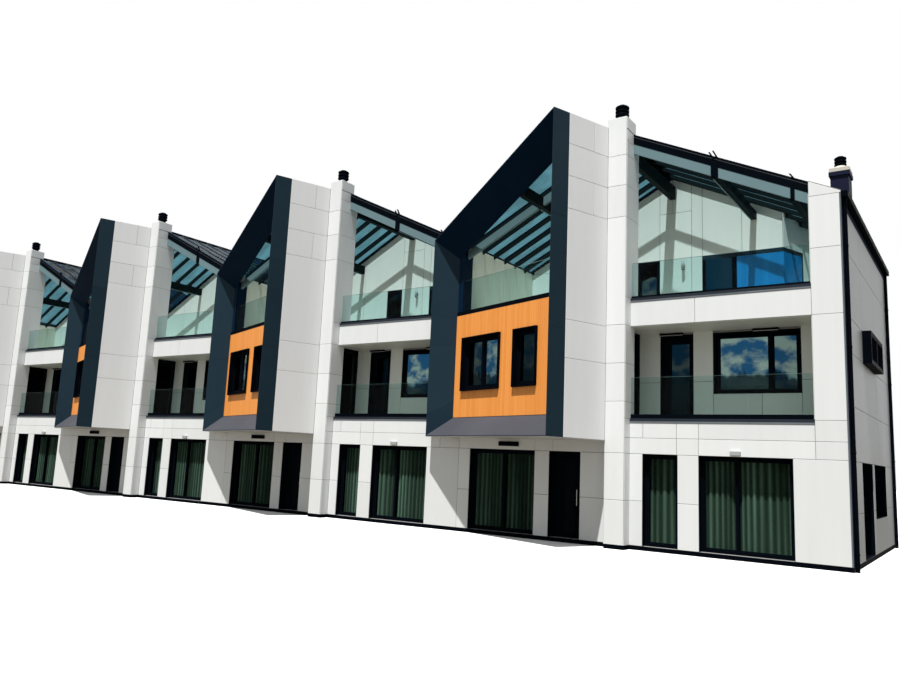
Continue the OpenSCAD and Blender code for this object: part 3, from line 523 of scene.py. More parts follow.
cuts = [-9.66, -8.7, -7.7, -6.7, -5.74]
soffit = [(a, b, 0.0, front_line(a), front_line(b)) for a, b in zip(cuts, cuts[1:])]
soffit.append((-5.72, -5.26, 0.0, 1.58, 0.36))
quads = [fields(sill_z * Z, X, -Y, soffit),
         fields(in_bay(0, 0, sill_z), side, -deep, cells([-bay_w, -2.5, 0], [-frame_d, 0.0]))]
lay("bay_soffits", quads, white, 0.010, gap)
edge, reveal, end_reveal = 0.002, 0.158, 0.208
quads = []
for a, b in (patio, door, narrow, wide):
    quads += [fields(a * X, Y, Z, [(edge, reveal, base_z, head_z)]),
              fields(b * X, -Y, Z, [(-reveal, -edge, base_z, head_z)]),
              fields(head_z * Z, X, -Y, [(a, b, -reveal, -edge)])]
lay("reveal_linings", quads, black, 0.006, bevel=0.001)
quads = []
for (a, b), low in ((end_door, base_z), (end_window, window_low)):
    quads += [fields(b * Y, X, Z, [(-end_reveal, -edge, low, head_z)]),
              fields(a * Y, -X, Z, [(edge, end_reveal, low, head_z)]),
              fields(head_z * Z, X, -Y, [(-end_reveal, -edge, -b, -a)]),
              fields(low * Z, X, Y, [(-end_reveal, -edge, a, b)])]
lay("end_linings", quads, black, 0.006, bevel=0.001, once=True)

# Loggias: panels on the back wall round its openings, on the right side and overhead, with a
# slatted floor. The terraces above them are laid with pale stone slabs.
# Painted light: white panels with a green cast for the light that comes through the green glass;
# the terraces use them too.
shaded = panel_finish("loggia_panels", (0.79, 0.83, 0.79))
loggia_l, loggia_r, loggia_y = -4.975, -0.3, 1.209
first_z, loggia_sill, loggia_head = 2.86, 3.757, 5.26
loggia_rows, ceiling = [first_z, 4.06, loggia_z], [-3.6, -2.2]
back = cells([loggia_l, narrow[0]], loggia_rows) + cells([narrow[1], wide[0]], loggia_rows)
back += cells([wide[1], loggia_r], loggia_rows)
back += cells([wide[0], -1.97, wide[1]], [first_z, loggia_sill])
quads = [
    fields(loggia_y * Y, X, Z, back),
    fields(loggia_z * Z, X, -Y, cells([loggia_l, *ceiling, loggia_r], [-loggia_y, -wall_in])),
    fields(loggia_z * Z, X, -Y, cells([pier_r, *ceiling, bay_r], [-wall_in, -edge])),
    fields(loggia_r * X, -Y, Z, cells([-loggia_y, -wall_in], loggia_rows)),
    fields(bay_r * X, -Y, Z, cells([-wall_in, 0.0], [3.07, 4.06, loggia_z])
           + [(-wall_in, 0.0, 6.03, 8.05)])]
lay("loggia_panels", quads, shaded, panel_t, gap)

planks = Finish("deck_planks", "concrete", Specular_IOR_Level=0.3)
grain = planks.noise(7.0, (0.8, 8.0, 8.0), 5.0, 0.6, 0.5)
planks.paint(planks.tone * 0.5 + grain * 0.5, (0.26, 0.23, 0.19), (0.5, 0.46, 0.4), Roughness=0.7)
planks.bump(grain, 0.003, 0.4)
deck = cells([loggia_l + 0.005, -0.31], np.linspace(0.26, loggia_y, 8).tolist())
lay("deck_planks", [fields(first_z * Z, X, Y, deck)], planks, 0.018, joint=0.006, bevel=0.002)

slab_stone = panel_finish("terrace_slabs", (0.66, 0.65, 0.58), 0.7, slot="concrete")
slabs = cells(np.linspace(-9.65, -0.31, 17).tolist(), np.linspace(0.26, 3.85, 7).tolist())
lay("terrace_slabs", [fields(top_z * Z, X, Y, slabs)], slab_stone, 0.02, joint=0.005, bevel=0.002)


# Terraces: tall panels on the back wall and its turned return, and on both sides, cut to the
# slope of the roof above them.
def sloped(xs, z0, drop=0.03):
    """Fields from z0 up to the given drop below the roof's top."""
    return [(a, b, z0, roof_z(a) - drop, roof_z(b) - drop) for a, b in zip(xs, xs[1:])]


foot_z, top_head, gable_z, wide_gap = 5.74, 7.98, 9.38, 0.012
corner_x, terrace_y, return_l, window_l = -1.97, 3.86, 1.5, 0.93
top_door, top_win, pier_joint = (-6.073, -5.393), (-4.148, -2.04), -4.452
back = cells([-9.66, -8.4, -7.2, top_door[0]], [foot_z, top_head])
back += cells([top_door[1], pier_joint, top_win[0]], [foot_z, top_head])
back += cells([top_door[1], pier_joint], [top_head, gable_z])
back += sloped([top_door[1], ridge_x, pier_joint], gable_z)
back += sloped([-9.6, -8.4, -7.2, top_door[1]], top_head)
back += sloped([pier_joint, -4.14, -3.045, corner_x], top_head)
bend = np.array([corner_x, terrace_y, 0.0])
far = bend + return_l * deep
edge_z = [roof_z(corner_x + sin(turn) * d) - 0.03 for d in (0.0, window_l, return_l)]
quads = [
    fields(terrace_y * Y, X, Z, back),
    fields(bend, deep, Z, [(0.0, window_l, top_head, *edge_z[:2]),
                           (window_l, return_l, foot_z, *edge_z[1:])]),
    fields(far[1] * Y, X, Z, sloped([far[0], -0.9, loggia_r], foot_z)),
    fields(loggia_r * X, -Y, Z, cells([-5.26, -3.86, -2.05, -wall_in], [foot_z, 7.86]))]
lay("terrace_panels", quads, shaded, panel_t, wide_gap, slot="render")
beige = panel_finish("side_panels", (0.8, 0.79, 0.68), slot="render")
beside = cells([wall_in, 0.95, 1.45, 2.05, 2.65, 2.8, 3.4, terrace_y], [foot_z, 8.0])
lay("terrace_side_panels", [fields(-house_w * X, Y, Z, beside)], beige, panel_t, wide_gap)

# Rear wall, its gables and the plain left end: the same coated panels, hung round the rear
# windows and cut to the slope of the roof.
rear_door, low_window, rear_patio = (-8.896, -7.896), (-6.904, -5.304), (-2.901, -1.301)
left_window, mid_window = (-8.403, -6.803), (-5.802, -4.202)
low_sill, first_sill, first_head, top_sill, gable_low = 1.03, 3.66, 4.86, 6.52, 7.75
house_d, roof_t = 7.9, 0.246
rear = []
for a, b in ((-house_w, rear_door[0]), (rear_door[1], low_window[0]),
             (low_window[1], rear_patio[0]), (rear_patio[1], 0.0)):
    rear += cells([a, b], [base_z, head_z])
rear += cells(low_window, [base_z, low_sill])
upper_xs = [-house_w, *left_window, *mid_window, *rear_patio, 0.0]
rear += cells(upper_xs, [head_z, first_z])
for a, b in zip(upper_xs[::2], upper_xs[1::2]):
    rear += cells([a, b], [first_z, top_z])
for window in (left_window, mid_window, rear_patio):
    rear += cells(window, [first_z, first_sill]) + cells(window, [first_head, top_z])
rear += cells(upper_xs[:4], [top_z, gable_low]) + cells(upper_xs[4:], [top_z, gable_low])
rear += cells(mid_window, [top_z, top_sill])
rear += sloped([-9.3, -7.6, -6.3, ridge_x, -3.7, -2.4, -1.1, -0.4], 7.76, roof_t + 0.012)
mirrored = [(-b, -a, c, r[-1], r[0]) for a, b, c, *r in rear]
lay("rear_panels", [fields(house_d * Y, -X, Z, mirrored)], white, panel_t, gap)
# The left end takes the end wall's grey, painted shade on white panels.
left = cells([-8.0, -6.1, -4.1, -2.1, -wall_in], [base_z, head_z, 4.2, 6.2, 8.16])
left_x = -houses * house_w - 0.3
lay("left_end_panels", [fields(left_x * X, -Y, Z, left)], end_white_painted_shade, panel_t, gap, once=True)

# Window and door sashes: mitred dark frames that hold the panes, a finger deep, inside the
# fixed frames.
frame_w = 0.07


def sashes(origin, along, rising, a0, a1, b0, b1, bars=(), width=0.035):
    """One ring of four mitred fields in each opening between a frame's sides and its bars, which
    are given as shares. Each corner of a ring is its outer corner drawn in by the width."""
    mids = [a0 + frame_w / 2] + [a0 + (a1 - a0) * k for k in bars] + [a1 - frame_w / 2]
    flat = []
    for a, b in zip(mids, mids[1:]):
        a, b, c, d = a + frame_w / 2, b - frame_w / 2, b0 + frame_w, b1 - frame_w
        out = np.array([[a, c], [b, c], [b, d], [a, d]])
        inside = out + width * np.array([[1, 1], [-1, 1], [-1, -1], [1, -1]])
        flat.append(np.stack([out, np.roll(out, -1, 0), np.roll(inside, -1, 0), inside], 1))
    return on_plane(origin, along, rising, np.concatenate(flat))


ground_y, loggia_pane, top_pane = 0.193 * Y, (loggia_y + 0.033) * Y, (terrace_y + 0.033) * Y
bay_sash, inset, top_low, main_share, top_share = in_bay(0, 0.613, 0), 0.035, 5.78, 0.67, 0.422
quads = [sashes(ground_y, X, Z, *patio, base_z, head_z),
         sashes(ground_y, X, Z, *narrow, base_z, head_z),
         sashes(ground_y, X, Z, *wide, base_z, head_z),
         sashes(loggia_pane, X, Z, *narrow, first_z, loggia_head),
         sashes(loggia_pane, X, Z, *wide, loggia_sill, loggia_head, [main_share]),
         sashes(-5.008 * X, Y, Z, wall_in, loggia_y, first_z, loggia_z)]
for (s0, s1), bars in ((bay_wide, [0.5]), (bay_narrow, [])):
    quads.append(sashes(bay_sash, side, Z, s0 + inset, s1 - inset, win_low + inset,
                        win_high - inset, bars, 0.05))
quads += [sashes(top_pane, X, Z, *top_door, top_z, top_head),
          sashes(top_pane, X, Z, *top_win, top_low, top_head, [top_share]),
          sashes(bend - 0.033 * side, deep, Z, 0.108, window_l, top_low, top_head)]
jamb, head = loggia_sill + frame_w, loggia_head - frame_w
fixed = [(narrow[0] + frame_w, narrow[0] + 0.28, first_z + frame_w, head),
         (narrow[0] + 0.28, narrow[1] - frame_w, 5.02, head),
         (wide[0] + frame_w, wide[0] + 0.17, jamb, head),
         (wide[0] + 0.17, wide[1] - frame_w, 5.11, head)]
quads.append(fields(loggia_pane, X, Z, fixed))
rear_openings = [(*rear_door, base_z, head_z), (*low_window, low_sill, head_z),
                 (*rear_patio, base_z, head_z), (*left_window, first_sill, first_head),
                 (*mid_window, first_sill, first_head), (*rear_patio, first_sill, first_head),
                 (*mid_window, top_sill, 7.72)]
quads += [sashes(7.707 * Y, -X, Z, -b, -a, z0, z1) for a, b, z0, z1 in rear_openings]
lay("window_sashes", quads, black, 0.02, joint=0.001)
end_pane, side_light = -0.243 * X, (2.716, end_door[1])
quads = [sashes(end_pane, Y, Z, *side_light, base_z, head_z),
         sashes(end_pane, Y, Z, *end_window, window_low, head_z, [0.5]),
         sashes(0.176 * X, Y, Z, *box_y, *box_z, [0.5], 0.04)]
lay("end_sashes", quads, black, 0.02, joint=0.001, once=True)


# Window glass: clear dark sheets, held in the sashes, that mirror the sky a little and let light
# through. The roof's sheets are tinted, and cloudy with weather.
def clear(name, tint, light, mirror, veil=0.0, cloudy=0.0, bounce=1.0, **steady):
    """Part mirror and part clear tinted sheet, by the angle at which it is seen, with a coated
    and a cloudy share besides. Sunlight, and the given share of bounced light, passes it with a
    paler tint than the eye sees."""
    made = Finish(name, "glass", Base_Color=(0.02, 0.02, 0.02), Roughness=0.02, **steady)
    lit = made.node("LightPath", out="Is Shadow Ray")
    lit += made.node("LightPath", out="Is Diffuse Ray") * bounce
    shown, passed = (made.node("BsdfTransparent", {}, {"Color": c}) for c in (tint, light))
    through = made.node("MixShader", {}, {0: lit, 1: shown, 2: passed})
    slant = made.node("LayerWeight", {}, {"Blend": 0.5}, "Facing")
    gloss = slant ** 5.0 * (0.96 * mirror) + (0.04 * mirror + veil)
    if cloudy:
        gloss += made.noise(1.1, (1.0, 2.0, 1.0), 6.0, 0.65, 0.5) * cloudy * (1.0 - lit)
    face = Value(made, made.body.outputs[0])
    made.show(made.node("MixShader", {}, {0: gloss, 1: through, 2: face}), "Material Output")
    return made


window = clear("window_glass", (0.52, 0.61, 0.56), (0.85, 0.9, 0.9), mirror=0.1)
dress(window, "ground_glass", "upper_glass")
teal = clear("roof_glass", (0.32, 0.52, 0.57), (0.8, 0.88, 0.89), mirror=0.3, veil=-0.3,
             cloudy=0.8, bounce=0.0)
dress(teal, "roof_glass")

# Coated panes: in the upper windows the outer sheet is a mirroring metal coat whose colour is a
# painted reflection of blue sky and white clouds, cloudy over the loggia and deeper at the top,
# where two sheets meet at the corner. Below about 4.7 m it is darker, a painted reflection of
# the buildings opposite, and each pane's tone sets how much painted sky it shows.
coated = clear("coated_glass_painted_sky", (0.5, 0.6, 0.65), (0.8, 0.88, 0.9), mirror=0.3, veil=0.7,
               Metallic=1.0)
# Painted reflection: blue sky and white clouds.
painted_sky_and_clouds = coated.node("ValToRGB", {"stops": [(0.46, (0.06, 0.24, 0.6)), (0.6, (0.9, 0.95, 1.0))]},
                    {0: coated.noise(1.7, (1.0, 1.0, 1.5), 8.0, 0.55, 0.15)})
# Painted reflection: darker below about 4.7 m, for the buildings mirrored there.
height = coated.node("SeparateXYZ", {}, {0: coated.place}, 2)
height += coated.noise(2.0, (1.0, 1.0, 0.2), 6.0, 0.7)
painted_sky_share = coated.node("MapRange", {}, {0: height, 1: 4.68, 2: 4.76, 3: 0.15, 4: 1.0})
coated.paint(coated.tone * painted_sky_share, (0.005, 0.018, 0.03), painted_sky_and_clouds)
mid = wide[0] + main_share * (wide[1] - wide[0])
half = (bay_wide[0] + bay_wide[1]) / 2
rim, z0, z1 = 0.1, win_low + 0.105, win_high - 0.105
bay_panes = [(bay_wide[0] + rim, half - 0.05, z0, z1), (half + 0.05, bay_wide[1] - rim, z0, z1),
             (bay_narrow[0] + rim, bay_narrow[1] - rim, z0, z1)]
loggia_panes = [(narrow[0] + rim, narrow[1] - rim, first_z + rim, loggia_head - rim),
                (wide[0] + rim, mid - 0.06, loggia_sill + rim, loggia_head - rim),
                (mid + 0.04, wide[1] - 0.08, loggia_sill + 0.08, loggia_head - 0.08)]
quads = [fields(in_bay(0, 0.62, 0), side, Z, bay_panes),
         fields(loggia_pane + 0.01 * Y, X, Z, loggia_panes),
         fields(top_pane + 0.01 * Y, X, Z, [(-5.97, -5.5, 5.82, top_head - rim)])]
lay("coated_panes_painted_sky", quads, coated, 0.004, bevel=0.001,
    tones=[0.2, 0.85, 0.07, 0.14, 0.95, 0.7, 0.3])
# Door and box panes: opaque near-black sheets that do not mirror, painted shade for the dark rooms
# behind the glass.
pane_painted_shade = Finish("door_glass", "glass", Roughness=0.3, Specular_IOR_Level=0.0)
pane_painted_shade.paint(pane_painted_shade.noise(1.5), (0.002, 0.003, 0.005), (0.007, 0.009, 0.013))
box_panes = fields(0.177 * X, Y, Z, cells([2.54, 3.65, 4.76], [4.6, 5.3]))
lay("end_box_panes", [box_panes], pane_painted_shade, 0.002, bevel=0.0005, once=True)
# Corner panes: mostly opaque, their blue a painted reflection of the sky, streaked upright; the
# first pane's tone keeps it dark.
blue_painted_sky = clear("corner_glass", (0.2, 0.45, 0.6), (0.8, 0.88, 0.9), mirror=0.1, veil=0.88,
                  Specular_IOR_Level=0.1)
painted_sky_blue = blue_painted_sky.mix(blue_painted_sky.noise(1.0, (6.0, 6.0, 0.3), 4.0), (0.004, 0.14, 0.38),
                         (0.014, 0.31, 0.78))
blue_painted_sky.paint(blue_painted_sky.tone, (0.001, 0.03, 0.06), painted_sky_blue)
mitre, rail_low, rail_high = 0.0139, 5.84, 7.86
panes = cells([-4.05, -3.32], [rail_low, rail_high])
panes += cells([-3.19, corner_x + mitre], [rail_low, rail_high])
quads = [fields((terrace_y - 0.012) * Y, X, Z, panes),
         fields(bend + 0.012 * side, deep, Z, [(-mitre, 0.86, rail_low, rail_high)])]
lay("corner_panes", quads, blue_painted_sky, 0.006, joint=0.004, bevel=0.001, tones=[0.0, 1.0, 1.0])
rails = cells([-3.258, corner_x + 0.008], [foot_z, rail_low])
rails += cells([top_win[0], corner_x + 0.008], [rail_high, top_head])
turned_rails = cells([-0.008, window_l], [foot_z, rail_low])
turned_rails += cells([-0.008, window_l], [rail_high, top_head])
turned_rails.append((0.86, window_l, rail_low, rail_high))
quads = [fields(terrace_y * Y, X, Z, rails), fields(bend, deep, Z, turned_rails)]
lay("corner_rails", quads, navy, 0.012, bevel=0.002)

# Balustrades: toughened panes without posts, clamped in a low dark channel on each coping, with
# a green edge along the top.
guard = clear("guard_glass", (0.84, 0.94, 0.935), (0.93, 0.97, 0.95), mirror=0.8)
glass_edge = Finish("glass_edge", "glass", Roughness=0.2)
glass_edge.paint(glass_edge.noise(3.0), (0.05, 0.12, 0.11), (0.12, 0.24, 0.21))
panes, rims, channels = [], [], []
for start, along, depth, xs, z0, z1, rise in (
        (0 * X, X, Y, [-4.745, -3.38, -2.02, -0.656], balcony_top, 4.063, 0.11),
        (0 * X, X, Y, [-4.745, -1.972, -0.656], terrace_top, 6.92, 0.06),
        (in_bay(0, frame_d + 0.02, 0), side, deep, [-4.2, -2.2, -0.265], terrace_top, 6.92, 0.03)):
    panes.append(fields(start + 0.0585 * depth, along, Z, cells(xs, [z0 + 0.002, z1 - 0.004])))
    rims.append(fields(start + (z1 - 0.004) * Z, along, depth, cells(xs, [0.042, 0.058])))
    for foot, way, ends in ((0.04, along, [xs[0], xs[-1]]), (0.06, -along, [-xs[-1], -xs[0]])):
        channels.append(fields(start + foot * depth, way, Z, cells(ends, [z0, z0 + rise])))
made = lay("guard_panes", panes, guard, 0.017, joint=0.012, bevel=0.001)
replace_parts(made, "balustrades")
lay("guard_rims", rims, glass_edge, 0.004, bevel=0.001)
lay("guard_channels", channels, black, 0.012, bevel=0.002)

# Copings: folded metal caps in lengths of about 1.4 m with a drip edge, and under them a grey
# strip on the front of each parapet's coping, a painted shadow of the cap.
quads, painted_shadow_strips = [], []
xs = [pier_r, -3.4, -2.0, bay_r]
for z, top in ((balcony_z, balcony_top), (terrace_z, terrace_top)):
    # Painted shadow: the grey strip under each cap.
    painted_shadow_strips.append(fields(-0.02 * Y, X, Z, cells(xs, [z - 0.002, z + 0.045])))
    quads += [fields(-0.022 * Y, X, Z, cells(xs, [z + 0.045, top])),
              fields(top * Z, X, Y, cells(xs, [-0.024, 0.04]))]
lay("coping_caps", quads, coping_coat, 0.004, joint=0.003, bevel=0.001)
ss = [jamb_l - bay_w, -3.1, -1.8, -jamb_r]
caps = cells(ss, [terrace_z - 0.01, terrace_top])
lay("bay_coping_caps",
    [fields(in_bay(0, frame_d - 0.02, 0), side, Z, caps),
     fields(in_bay(0, frame_d - 0.02, terrace_top), side, deep, cells(ss, [-0.004, 0.06]))],
    black, 0.004, joint=0.003, bevel=0.001)
# Painted shadow strips along the copings.
lay("coping_painted_shadows", painted_shadow_strips, grey, 0.002, joint=0.003, bevel=0.001)


# Roof: glazing caps over the rafters of the glass part, standing seams on the sheet part, and
# folded caps along the ridges.
def roof_strips(spans, lift=0.0):
    """Fields on the roof's slope for spans (x0, x1, y0, y1), lifted off its surface."""
    span = np.array(spans, float)
    x, y = span[:, [0, 1, 1, 0]], span[:, [2, 2, 3, 3]]
    slope = np.where(x > ridge_x, -slope_r, slope_l)
    return np.stack([x, y, ridge_z + slope * (x - ridge_x) + lift], 2)


roof_l = -9.65
rafter_y = roof_y + 0.01 + 0.62 * np.arange(9)
skew = [corner_x + max(0.0, y - terrace_y) * tan(turn) for y in rafter_y]
bars = [(pier_r, bay_r, rafter_y[0])]
bars += [(a + 0.06, -0.4 if y == rafter_y[2] else -0.13, y)
         for a, y in zip([ridge_x] * 5 + skew[6:], rafter_y[1:])]
bars += [(roof_l, pier_l - 0.26, rafter_y[0])]
bars += [(roof_l, ridge_x - 0.01, y) for y in rafter_y[1:6]]
lay("glazing_caps", [roof_strips([(a, b, y, y + 0.06) for a, b, y in bars])], roof_metal, 0.022,
    bevel=0.004)
seam_y = np.arange(3.9, 7.95, 0.5)
strips = [(ridge_x + 0.1, -0.125 if y > far[1] else corner_x - 0.02 + (y - terrace_y) * tan(turn),
           y, y + 0.03) for y in seam_y]
strips += [(-9.66, ridge_x - 0.1, y, y + 0.03) for y in seam_y]
lay("roof_seams", [roof_strips(strips)], roof_metal, 0.032, bevel=0.004)
strips = [(x0, x1, y0, y1) for x0, x1 in ((ridge_x, ridge_x + 0.14), (ridge_x - 0.14, ridge_x))
          for y0, y1 in ((0.26, 2.2), (2.2, 4.1), (4.1, 6.05), (6.05, 7.99))]
lay("ridge_caps", [roof_strips(strips, 0.024)], black, 0.012, joint=0.002, bevel=0.002)

# Roof flashings: folded strips where the sheet roof's front edge stands a little forward of the
# walls under it.
strips = [(ridge_x, corner_x, 3.75, 3.88), (-9.66, ridge_x, 3.75, 3.88),
          (far[0], -0.02, 5.15, 5.28)]
lap_w = 0.13
turned = bend + np.array([0 * side, lap_w * side, lap_w * side + return_l * deep, return_l * deep])
turned[:, 2] = [roof_z(x) for x in turned[:, 0]]
lay("roof_flashings", [roof_strips(strips), turned[None]], roof_metal, 0.02)


# Rafters: coated steel hollow sections, 60 x 120 mm, under the roof's glass. They stand on short
# stools over the purlins.
def along_slope(spans, drop0, drop1, back=0.0):
    """Upright fields facing forwards, for spans (x0, x1, y) moved back a little, between two
    lines drawn below the roof's top."""
    fronts = roof_strips([(a, b, y + back, y + back) for a, b, y in spans])
    fronts[..., 2] -= [drop1, drop1, drop0, drop0]
    return fronts


section_w, section_top, section_low = 0.06, 0.022, 0.142
made = lay("rafter_sections", [along_slope(bars, section_top, section_low, section_w)],
           rafter_dark, section_w, bevel=0.006)
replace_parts(made, "rafters")
purlin_x = (-9.6, -7.336, -5.1, -2.716, -0.99)
stools = [(x - 0.04, x + 0.04, y) for a, b, y in bars for x in purlin_x
          if a < x - 0.05 and x + 0.05 < b]
lay("rafter_stools", [along_slope(stools, section_low, 0.248, 0.055)], rafter_dark, 0.05,
    bevel=0.002)

# Roof edge: a folded black cap and a black board with a grey strip between them, a painted
# highlight, steel plates bolted over the purlins' ends, and small posts for a safety line.
edge_y, (mid_purlin, low_purlin) = roof_y - 0.03, purlin_x[3:]
edges = [(a, b, edge_y) for a, b in ((pier_r, -3.4), (-3.4, -2.05), (-2.05, bay_r))]
lay("verge_caps", [along_slope(edges, -0.012, 0.045), along_slope(edges, 0.07, roof_t)], black,
    0.024, joint=0.002, bevel=0.004)
# Painted highlight: the grey strip between cap and board.
lay("verge_painted_highlights", [along_slope(edges, 0.045, 0.07)], grey, 0.012, joint=0.002, bevel=0.002)
bolted = [(x - w, x + w, edge_y) for x, w in ((mid_purlin, 0.085), (low_purlin, 0.045))]
posts = np.array([[[x + k + dx, edge_y - 0.01, roof_z(x) + dz]
                   for dx, dz in ((0.0, -0.06), (0.04, -0.06), (-0.07, h), (-0.11, h))]
                  for x, k, h in ((mid_purlin, 0.06, 0.15), (mid_purlin, -0.03, 0.13),
                                  (low_purlin, 0.04, 0.1))])
lay("verge_plates", [along_slope(bolted, 0.12, 0.51), posts], black, 0.034, bevel=0.004)

# Pale sheets over the face of the front beam, and pale pipes for cables, clipped along the
# undersides of two purlins.
spans = [(pier_r, -2.8, roof_y), (-2.63, -1.035, roof_y), (-0.945, bay_r, roof_y)]
lay("fascia_sheets", [along_slope(spans, roof_t + 0.004, 0.505)], light_grey, 0.045)
quads = [fields((roof_z(x) - roof_t - 0.25) * Z, X, -Y, [(x0, x1, -3.84, y1)])
         for x, x0, x1, y1 in ((mid_purlin, -2.796, -2.768, -wall_in),
                               (purlin_x[1], -7.416, -7.376, -0.1))]
lay("purlin_conduits", quads, light_grey, 0.02, bevel=0.006)


# Flue cowls: a spun pipe with three stacked rings and a domed lid, on each pier and on the
# dark stack at the end.
def lathe(profile, centre, count=24):
    """A profile of radii and heights carried round an upright axis: point = centre +
    (r cos a, r sin a, z), closed where the radius is nought."""
    r, z = np.array(profile, float).T
    a = np.arange(count) * 2 * pi / count
    points = np.stack([np.outer(r, np.cos(a)), np.outer(r, np.sin(a)),
                       np.outer(z, np.ones(count))], 2) + centre
    k, j = np.meshgrid(np.arange(len(r) - 1) * count, np.arange(count), indexing="ij")
    n = (j + 1) % count
    faces = np.stack([k + j, k + n, k + count + n, k + count + j], 2)
    return points.reshape(-1, 3), faces.reshape(-1, 4)


def spun(name, parts, finish, smooth=True):
    """One piece of several lathed parts, with a tone of its own for each."""
    counts = [len(points) for points, faces in parts]
    starts = np.cumsum([0] + counts)
    faces = np.concatenate([faces + start for (points, faces), start in zip(parts, starts)])
    tone = np.repeat(np.random.default_rng(3).random(len(parts)), counts)
    points = np.concatenate([points for points, faces in parts])
    return piece(name, points, faces.tolist(), tone, finish, smooth=smooth)


cowl = [(0.001, 0.0), (0.165, 0.0), (0.165, 0.03), (0.128, 0.06), (0.128, 0.13)]
for z in (0.14, 0.24, 0.34):
    cowl += [(0.13, z), (0.172, z + 0.006), (0.177, z + 0.016), (0.177, z + 0.05),
             (0.168, z + 0.062), (0.12, z + 0.072)]
cowl += [(0.12, 0.425), (0.1, 0.445), (0.05, 0.457), (0.001, 0.46)]
stack_x, stack_y, cap_z, stack_top = -0.195, 1.57, 8.95, 9.05
parts = [lathe(cowl, np.array([ridge_x - house_w * i, -0.038, pier_top])) for i in range(houses)]
parts.append(lathe(0.75 * np.array(cowl), np.array([stack_x, stack_y, stack_top])))
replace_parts(spun("flue_cowls_spun", parts, black), "flue_cowls")

# End stack: a cast pale cap stone laid over the dark stack, and a pale collar round the foot of
# its cowl.
stone = panel_finish("cap_stone", (0.6, 0.57, 0.5), slot="concrete")
cap = fields(cap_z * Z, X, Y, [(-0.41, 0.02, 1.31, 1.83)])
lay("stack_cap", [cap], stone, 0.1, bevel=0.008, once=True)
collar = [(0.125, 0.0), (0.16, 0.0), (0.16, 0.02), (0.128, 0.08), (0.125, 0.08)]
spun("stack_collar", [lathe(collar, np.array([stack_x, stack_y, stack_top - 0.001]))], stone)

# Corner of the end wall: a grey folded strip on the front, a dark board behind the pipe, and a
# dark board under the gutter.
steel_grey = metal("corner_coat", "grey_metal", (0.13, 0.16, 0.18), spread=0.15)
strip_rows = low_rows + [3.05, upper_z]
strips = cells([-0.032, -edge], strip_rows + [top_head])
lay("corner_strips", [fields(0 * X, X, Z, strips)], steel_grey, 0.02, joint=0.002, bevel=0.004,
    once=True)
boards = cells([edge, wall_in], strip_rows + [gutter_z]) + [(edge, 7.98, 7.75, 8.04)]
lay("corner_boards", [fields(0 * X, Y, Z, boards)], charcoal, 0.009, joint=0.002, bevel=0.002,
    once=True)

# Pipe collars, gutter straps and a gutter's end cap: bent black metal, clamped round the pipes
# and fixed over the gutter's face.
collar = [(0.046, -0.02), (0.053, -0.018), (0.053, 0.018), (0.046, 0.02)]
spun("pipe_collars", [lathe(collar, np.array([0.055, y, z]), 20) for y in (0.105, 7.735)
                      for z in (0.35, 2.4, 4.6, 6.8)], black, smooth=False)
gutter_low, gutter_top = 7.886, 8.013
straps = [(y, y + 0.03, gutter_low, gutter_top) for y in np.arange(0.4, 7.9, 0.75)]
lay("gutter_straps", [fields(0.14 * X, Y, Z, straps),
                      fields(0.0005 * Y, X, Z, [(edge, 0.138, gutter_low, gutter_top)])],
    black, 0.004, bevel=0.001, once=True)

# Curtains: floor-long sheets gathered on rails behind the three ground-floor windows of each
# house. A sheet's fold line is a wave whose places wander, so no two folds are alike. The
# cloth is painted lighter on the crests nearest the glass and darker in the hollows, painted
# light and shade, stronger in some places than in others.
cloth = Finish("curtain_cloth", "curtain", Roughness=0.85, Sheen_Weight=0.2)
weave = cloth.noise(120.0, (1.0, 1.0, 0.25), 2.0)
# Painted light and shade: crests lighter, hollows darker, unevenly along the sheet.
fold_light_spread = cloth.noise(3.5, (1.0, 1.0, 0.05), 2.0) * 2.6 - 0.8
cloth.paint(cloth.tone * cloth.tone * fold_light_spread + weave * 0.1, (0.02, 0.035, 0.026),
            (0.5, 0.62, 0.52))
cloth.bump(weave, 0.001, 0.3)
hem_z, hung_z, rail_y, fold_y, fold_w, rows = 0.125, 2.255, 0.31, 0.29, 0.13, 9
rails = []
for k, (i, (a, b)) in enumerate((i, w) for i in range(houses) for w in (patio, narrow, wide)):
    a, b = a + 0.08 - house_w * i, b - 0.08 - house_w * i
    x = a + (b - a) * np.linspace(0, 1, int((b - a) / 0.11) * 12 + 1)
    wander = 2.6 * np.sin(2.3 * x) + 1.5 * np.sin(5.9 * x + 1.0)
    fold = fold_y + 0.018 * np.sin(2 * pi * (x - a) / fold_w + wander) + 0.005 * np.sin(7.1 * x)
    heights = np.linspace(hem_z, hung_z, rows)
    points = np.stack([np.tile(x, rows), np.tile(fold, rows), np.repeat(heights, len(x))], 1)
    q = (np.arange(rows - 1)[:, None] * len(x) + np.arange(len(x) - 1)).ravel()
    faces = np.stack([q, q + 1, q + len(x) + 1, q + len(x)], 1).tolist()
    # Painted light: nearness to the glass, read as light on the fold crests.
    fold_crest_light = np.clip((0.314 - points[:, 1]) / 0.048, 0, 1)
    made = piece(f"curtain_{k + 1}", points, faces, fold_crest_light, cloth, smooth=True)
    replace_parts(made, "curtains")
    rails.append(fields(rail_y * Y, X, Z, [(a, b, 2.25, 2.285)]))
lay("curtain_rails", rails, grey, 0.04, bevel=0.004, once=True)

